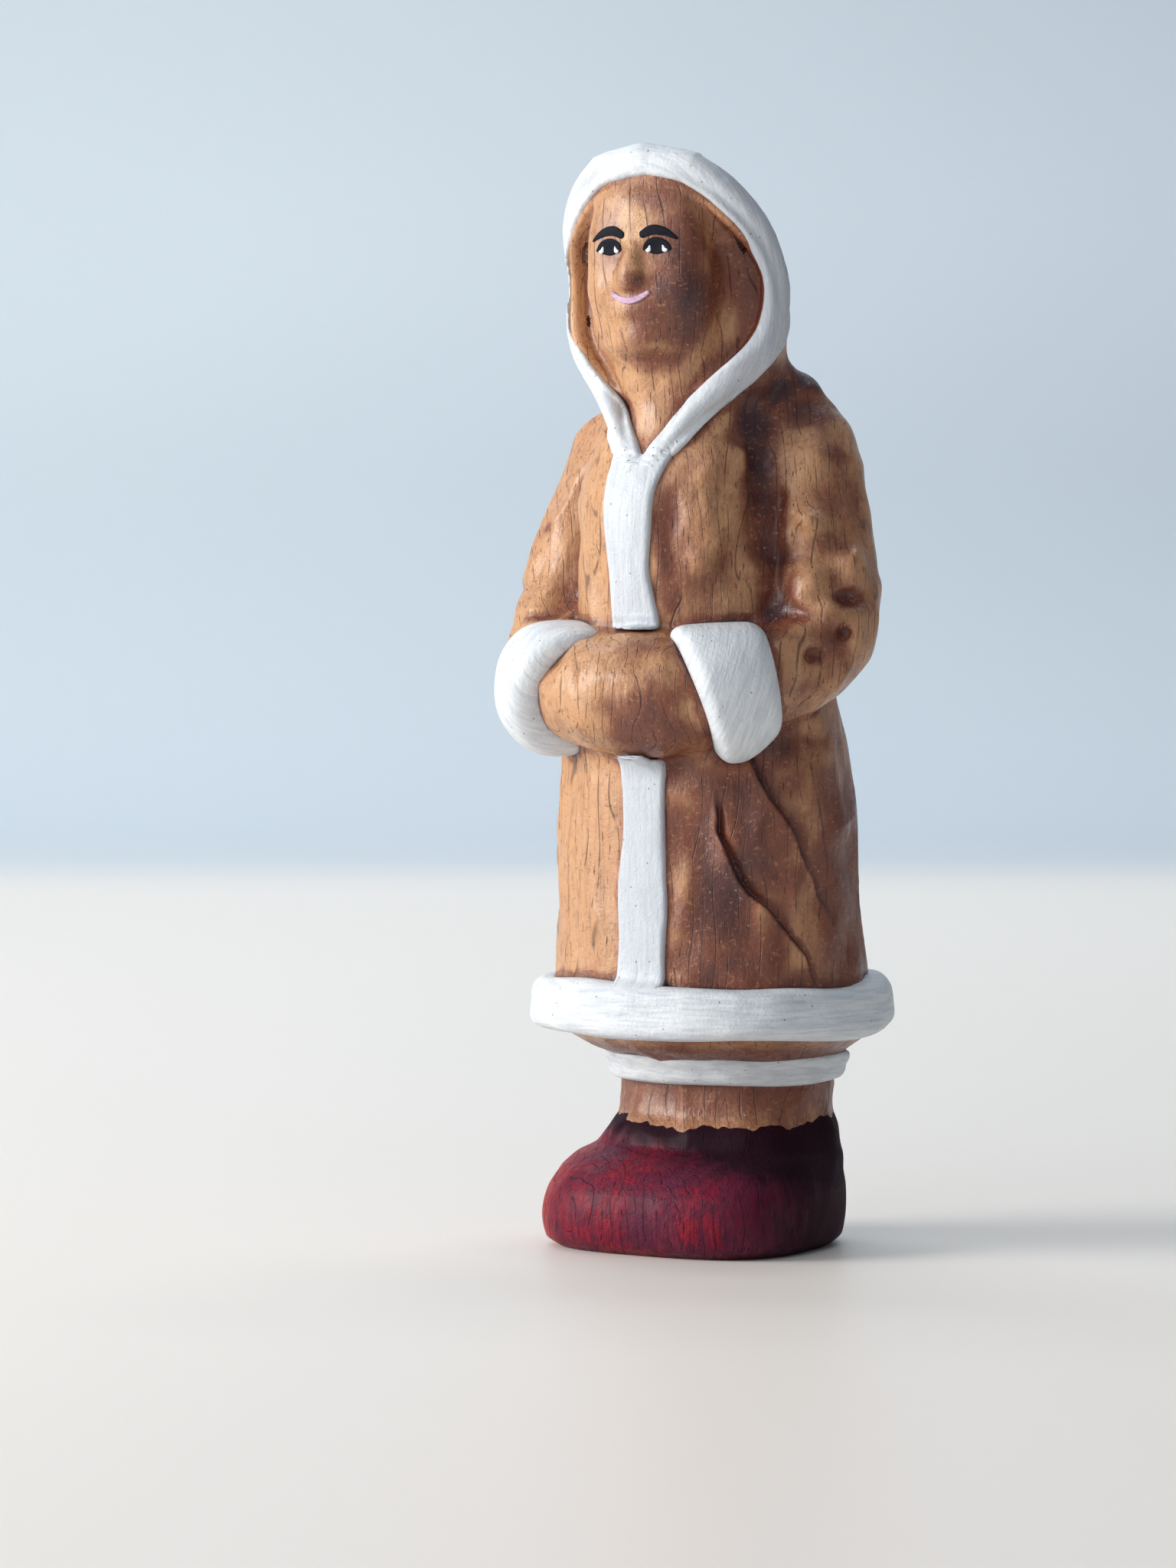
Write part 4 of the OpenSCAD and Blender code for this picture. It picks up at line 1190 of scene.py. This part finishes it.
def make_wood():
    pts, quads, nrm = surface(wood, G)
    tris = np.concatenate([quads[:, [0, 1, 2]], quads[:, [0, 2, 3]]])
    names = ["coat", "boots", "legs", "underskirt", "hood", "head", "left_sleeve",
             "right_sleeve", "mittens"]
    label = np.zeros(len(tris), int)

    def between(p, a, b):
        va, vb = G.sample(a, p), G.sample(b, p)
        return np.where(va > 3.0, 3.0, va - vb)

    def ragged(p):
        th = np.arctan2(p[:, 1] - 3.5, p[:, 0])
        wave = sum(a * np.sin(f * th + s) for f, a, s in
                   ((2, 0.34, 1.0), (5, 0.2, 0.4), (11, 0.16, 2.2), (19, 0.13, 0.7),
                    (37, 0.08, 2.9), (59, 0.06, 1.1)))
        return p[:, 2] - BOOT_LINE - wave

    def in_rim(p):
        w, _ = rim(p[:, 2])
        side = np.abs(p[:, 0]) - (w + 0.75)
        ends = np.maximum(CHIN_V - 0.5 - p[:, 2], p[:, 2] - RIM_TOP - 0.6)
        behind = p[:, 1] + 4.5 + 0.85 * np.clip(p[:, 2] - 104, 0, 99)
        return np.maximum(np.maximum(side, ends), behind)

    body = np.minimum(coat_f, np.minimum(arm_f[1], arm_f[-1]))
    torso = np.minimum(body, hands_f)
    steps = (("boots", ["coat"], ragged),
             ("legs", ["coat"], lambda p: p[:, 2] - (BAND_LO + BAND_HI) / 2),
             ("underskirt", ["coat"], lambda p: p[:, 2] - (HEM_LO + HEM_HI) / 2),
             ("hood", ["coat"], lambda p: between(p, hood_f, torso)),
             ("head", ["coat", "hood"], in_rim),
             ("mittens", ["coat"], lambda p: between(p, hands_f, body)),
             ("left_sleeve", ["coat"], lambda p: between(p, arm_f[1], coat_f)),
             ("right_sleeve", ["coat"], lambda p: between(p, arm_f[-1], coat_f)))
    for new, old, rule in steps:
        where = [names.index(o) for o in old]
        pts, nrm, tris, label = cut_mesh(pts, nrm, tris, label, rule(pts), where,
                                         names.index(new))
    for k, name in enumerate(names):
        mine = tris[label == k]
        p, m, t = closed(pts, nrm, mine)
        obj = make_object(name + "_wood", p, t, m, hollows(p, m))
        red = name == "boots"
        dress(obj, name, BOOT_RED if red else WOOD)


def brush_of(name, p):
    """Lengthwise and crosswise coordinates of the brush strokes, in millimetres."""
    x, y, z = p.T
    if name in ("hem_band", "underskirt_band"):
        along, across = np.arctan2(y, x) * 17, z
    elif name.endswith("placket"):
        along, across = z, x
    elif name == "hood_trim":
        up = z - 97
        along, across = np.arctan2(x, up) * 12, y * 0.8 + np.hypot(x, up) * 0.6
    else:
        side = 1 if name == "left_cuff" else -1
        x, y, z = (p - CUFF_MOUTH * [side, 1, 1]).T
        u = x * side * math.sin(CUFF_TURN) - y * math.cos(CUFF_TURN)
        out = -x * side * math.cos(CUFF_TURN) - y * math.sin(CUFF_TURN)
        along, across = np.arctan2(z, u) * 7, out + 0.3 * z
    return np.stack([along, across, np.zeros(len(p))], 1)


# how much greyer each placket is painted
PLACKET_GREYING = {"lower_placket": 0.75, "upper_placket": 0.4}


def make_trims():
    for name, field in trims.items():
        pts, quads, nrm = surface(field, G)
        layers = hollows(pts, nrm)
        layers["brush"] = brush_of(name, pts)
        layers["thin"] = np.full(len(pts), PLACKET_GREYING.get(name, 0.0))
        if name == "lower_placket":
            layers["thin"] *= smooth01(pts[:, 2], HEM_HI - 1.5, HEM_HI + 4.0)
        obj = make_object(name + "_paint", pts, quads, nrm, layers)
        dress(obj, name, WHITE)


def make_strokes():
    grid = Grid([-6, NOSE_Y - 0.5, 96.5], [6, -11.0, 107.5], FINE)
    mesh_pts = np.stack(np.broadcast_arrays(grid.X, grid.Y, grid.Z), -1).reshape(-1, 3)
    near = G.sample(skin, mesh_pts.astype(float)).reshape(grid.n)
    ex = EYE_X

    def line(rows):
        return chain(rows, (grid.X, grid.Z), 15)

    def coat_of(shape, thick):
        f = smax(shape + 0 * grid.Y, near - thick, 0.06)
        return np.maximum(f, -(near + 0.25)).astype(np.float32)

    def stroke(node, shape, thick, material):
        pts, quads, nrm = surface(coat_of(shape, thick), grid)
        obj = make_object(node + "_paint", pts, quads, nrm, hollows(pts, nrm))
        dress(obj, node, material)

    for side, word in ((1, "left"), (-1, "right")):
        brow = line([[0, side * 1.35, BROW_Z - 0.2, 0.42], [1, side * 2.4, BROW_Z + 0.22, 0.52],
                     [2, side * 3.75, BROW_Z, 0.42], [3, side * 5.05, BROW_Z - 0.7, 0.14]])
        stroke(word + "_eyebrow", brow, 0.13, INK)
        ez = EYE_Z + 0.35
        eye = line([[0, side * (ex - 1.4), ez - 0.3, 0.16], [1, side * (ex - 0.75), ez, 0.66],
                    [2, side * ex, ez + 0.02, 0.88], [3, side * (ex + 0.8), ez - 0.02, 0.64],
                    [4, side * (ex + 1.55), ez - 0.3, 0.16]])
        stroke(word + "_eye", eye, 0.12, INK)
        whites = [line([[0, side * (ex + a), ez - 0.42, 0.1], [1, side * (ex + b), ez - 0.4, 0.24],
                        [2, side * (ex + c), ez + top, 0.08]])
                  for a, b, c, top in ((-1.15, -0.85, -0.72, 0.02), (1.25, 0.93, 0.78, 0.04))]
        stroke(word + "_eye_whites", np.minimum(*whites), 0.19, EYE_WHITE)
    smile = line([[0, -2.2, MOUTH_Z + 1.25, 0.24], [1, -1.35, MOUTH_Z + 0.72, 0.3],
                  [2, -0.1, MOUTH_Z + 0.5, 0.33], [3, 1.05, MOUTH_Z + 0.75, 0.31],
                  [4, 2.05, MOUTH_Z + 1.3, 0.22]])
    stroke("mouth", smile, 0.22, LIP)


make_wood()
make_trims()
make_strokes()


# ---- floor, light and camera ------------------------------------------------

AZ = math.radians(33)
RIGHT = Vector((math.cos(AZ), math.sin(AZ), 0))
BACK = Vector((math.sin(AZ), -math.cos(AZ), 0))      # from the figure towards the camera
UP = Vector((0, 0, 1))


def link(name, data):
    obj = bpy.data.objects.new(name, data)
    bpy.context.scene.collection.objects.link(obj)
    return obj


def stage_mesh():
    """A table that runs back into a softly curved backdrop, in one sheet."""
    reach, near, bend, steps = 6.0, 0.70, 0.30, 12
    profile = [(-reach, 0.0), (0.55, 0.0), (near, 0.0)]
    for k in range(1, steps + 1):
        a = math.radians(90 * k / steps)
        profile.append((near + bend * math.sin(a), bend * (1 - math.cos(a))))
    profile += [(1.0, 0.6), (1.0, 1.6)]
    verts = [RIGHT * u - BACK * d + UP * h for u in (-reach, reach) for d, h in profile]
    m = len(profile)
    faces = [(k, k + 1, m + k + 1, m + k) for k in range(m - 1)]
    mesh = bpy.data.meshes.new("table")
    mesh.from_pydata(verts, [], faces)
    mesh.polygons.foreach_set("use_smooth", [True] * len(faces))
    obj = link("table", mesh)
    n = Nodes("table_finish")
    p = n.object_place()
    depth, side = n.dot(p, tuple(-BACK)), n.dot(p, tuple(RIGHT))
    cloudy = n.noise(p, (1.4, 1.4, 1.4), 1.0, 0.5)
    # the table top a touch paler on the window's side, with warmer clouds; the backdrop darker
    # away from the window and paler low down: painted light and painted shade
    top = n.mix(n.span(side, -0.3, 0.3), (0.88, 0.845, 0.79), (0.87, 0.82, 0.77))
    top = n.mix(n.span(cloudy, 0.3, 0.7, 0, 0.45), top, (0.93, 0.83, 0.77))
    wall = n.mix(n.span(side, -0.2, 0.25), (0.57, 0.635, 0.683), (0.47, 0.527, 0.58))
    wall = n.mix(n.span(n.axis(p, 2), 0.0, 0.1, 0.35, 0.0), wall, (0.72, 0.80, 0.86))
    color = n.mix(n.span(depth, 0.57, 0.75), top, wall)
    n.finish(color, 0.42, n.bumps(((cloudy, 0.0001, 0.1),)), Specular_IOR_Level=0.3)
    mesh.materials.append(n.mat)


def area_light(name, at, target, size, power, color):
    data = bpy.data.lights.new(name, "AREA")
    data.shape = "RECTANGLE"
    data.size, data.size_y = size
    data.energy = power
    data.color = color
    obj = link(name, data)
    obj.location = at
    obj.rotation_euler = (Vector(target) - Vector(at)).to_track_quat("-Z", "Y").to_euler()


def make_light():
    mid = Vector((0, 0, 0.06))
    far = -BACK * 0.95 + UP * 0.25
    area_light("window", mid - RIGHT * 0.75 + BACK * 0.13 + UP * 0.24, mid, (0.38, 0.38), 6.6,
               (1.0, 0.975, 0.94))
    area_light("fill", mid - RIGHT * 0.45 + BACK * 0.8 + UP * 0.6, mid, (0.8, 0.6), 1.95,
               (0.95, 0.97, 1.0))
    area_light("backdrop", far + BACK * 0.45 + UP * 0.75 - RIGHT * 0.1, far, (1.2, 0.3), 6.6,
               (0.93, 0.97, 1.0))
    # a pale room, brighter on the window's side
    world = bpy.data.worlds.new("room")
    world.use_nodes = True
    tree = world.node_tree
    sky = tree.nodes["Background"]
    sky.inputs[0].default_value = (0.82, 0.89, 0.97, 1)
    where = tree.nodes.new("ShaderNodeTexCoord")
    side = tree.nodes.new("ShaderNodeVectorMath")
    side.operation = "DOT_PRODUCT"
    side.inputs[1].default_value = RIGHT
    level = tree.nodes.new("ShaderNodeMapRange")
    for i, v in enumerate((-1.0, 1.0, 0.46, 0.22), 1):
        level.inputs[i].default_value = v
    tree.links.new(where.outputs["Generated"], side.inputs[0])
    tree.links.new(side.outputs["Value"], level.inputs[0])
    tree.links.new(level.outputs[0], sky.inputs[1])
    bpy.context.scene.world = world
    bpy.context.scene.view_settings.view_transform = "Standard"


def make_camera():
    """Sees the figure from its front left, a little above its shoulders."""
    distance, height, aim, aside = 0.6, 0.075, 0.04845, 0.01285
    sensor, seen = 36.0, 0.1647                      # seen: the frame's height at the figure
    at = -RIGHT * aside + UP * aim
    data = bpy.data.cameras.new("camera")
    data.sensor_fit = "VERTICAL"
    data.sensor_height = sensor
    data.lens = sensor * distance / seen
    data.clip_start, data.clip_end = 0.01, 20
    obj = link("camera", data)
    obj.location = at + BACK * distance + UP * (height - aim)
    obj.rotation_euler = (at - obj.location).to_track_quat("-Z", "Y").to_euler()
    bpy.context.scene.camera = obj


stage_mesh()
make_light()
make_camera()
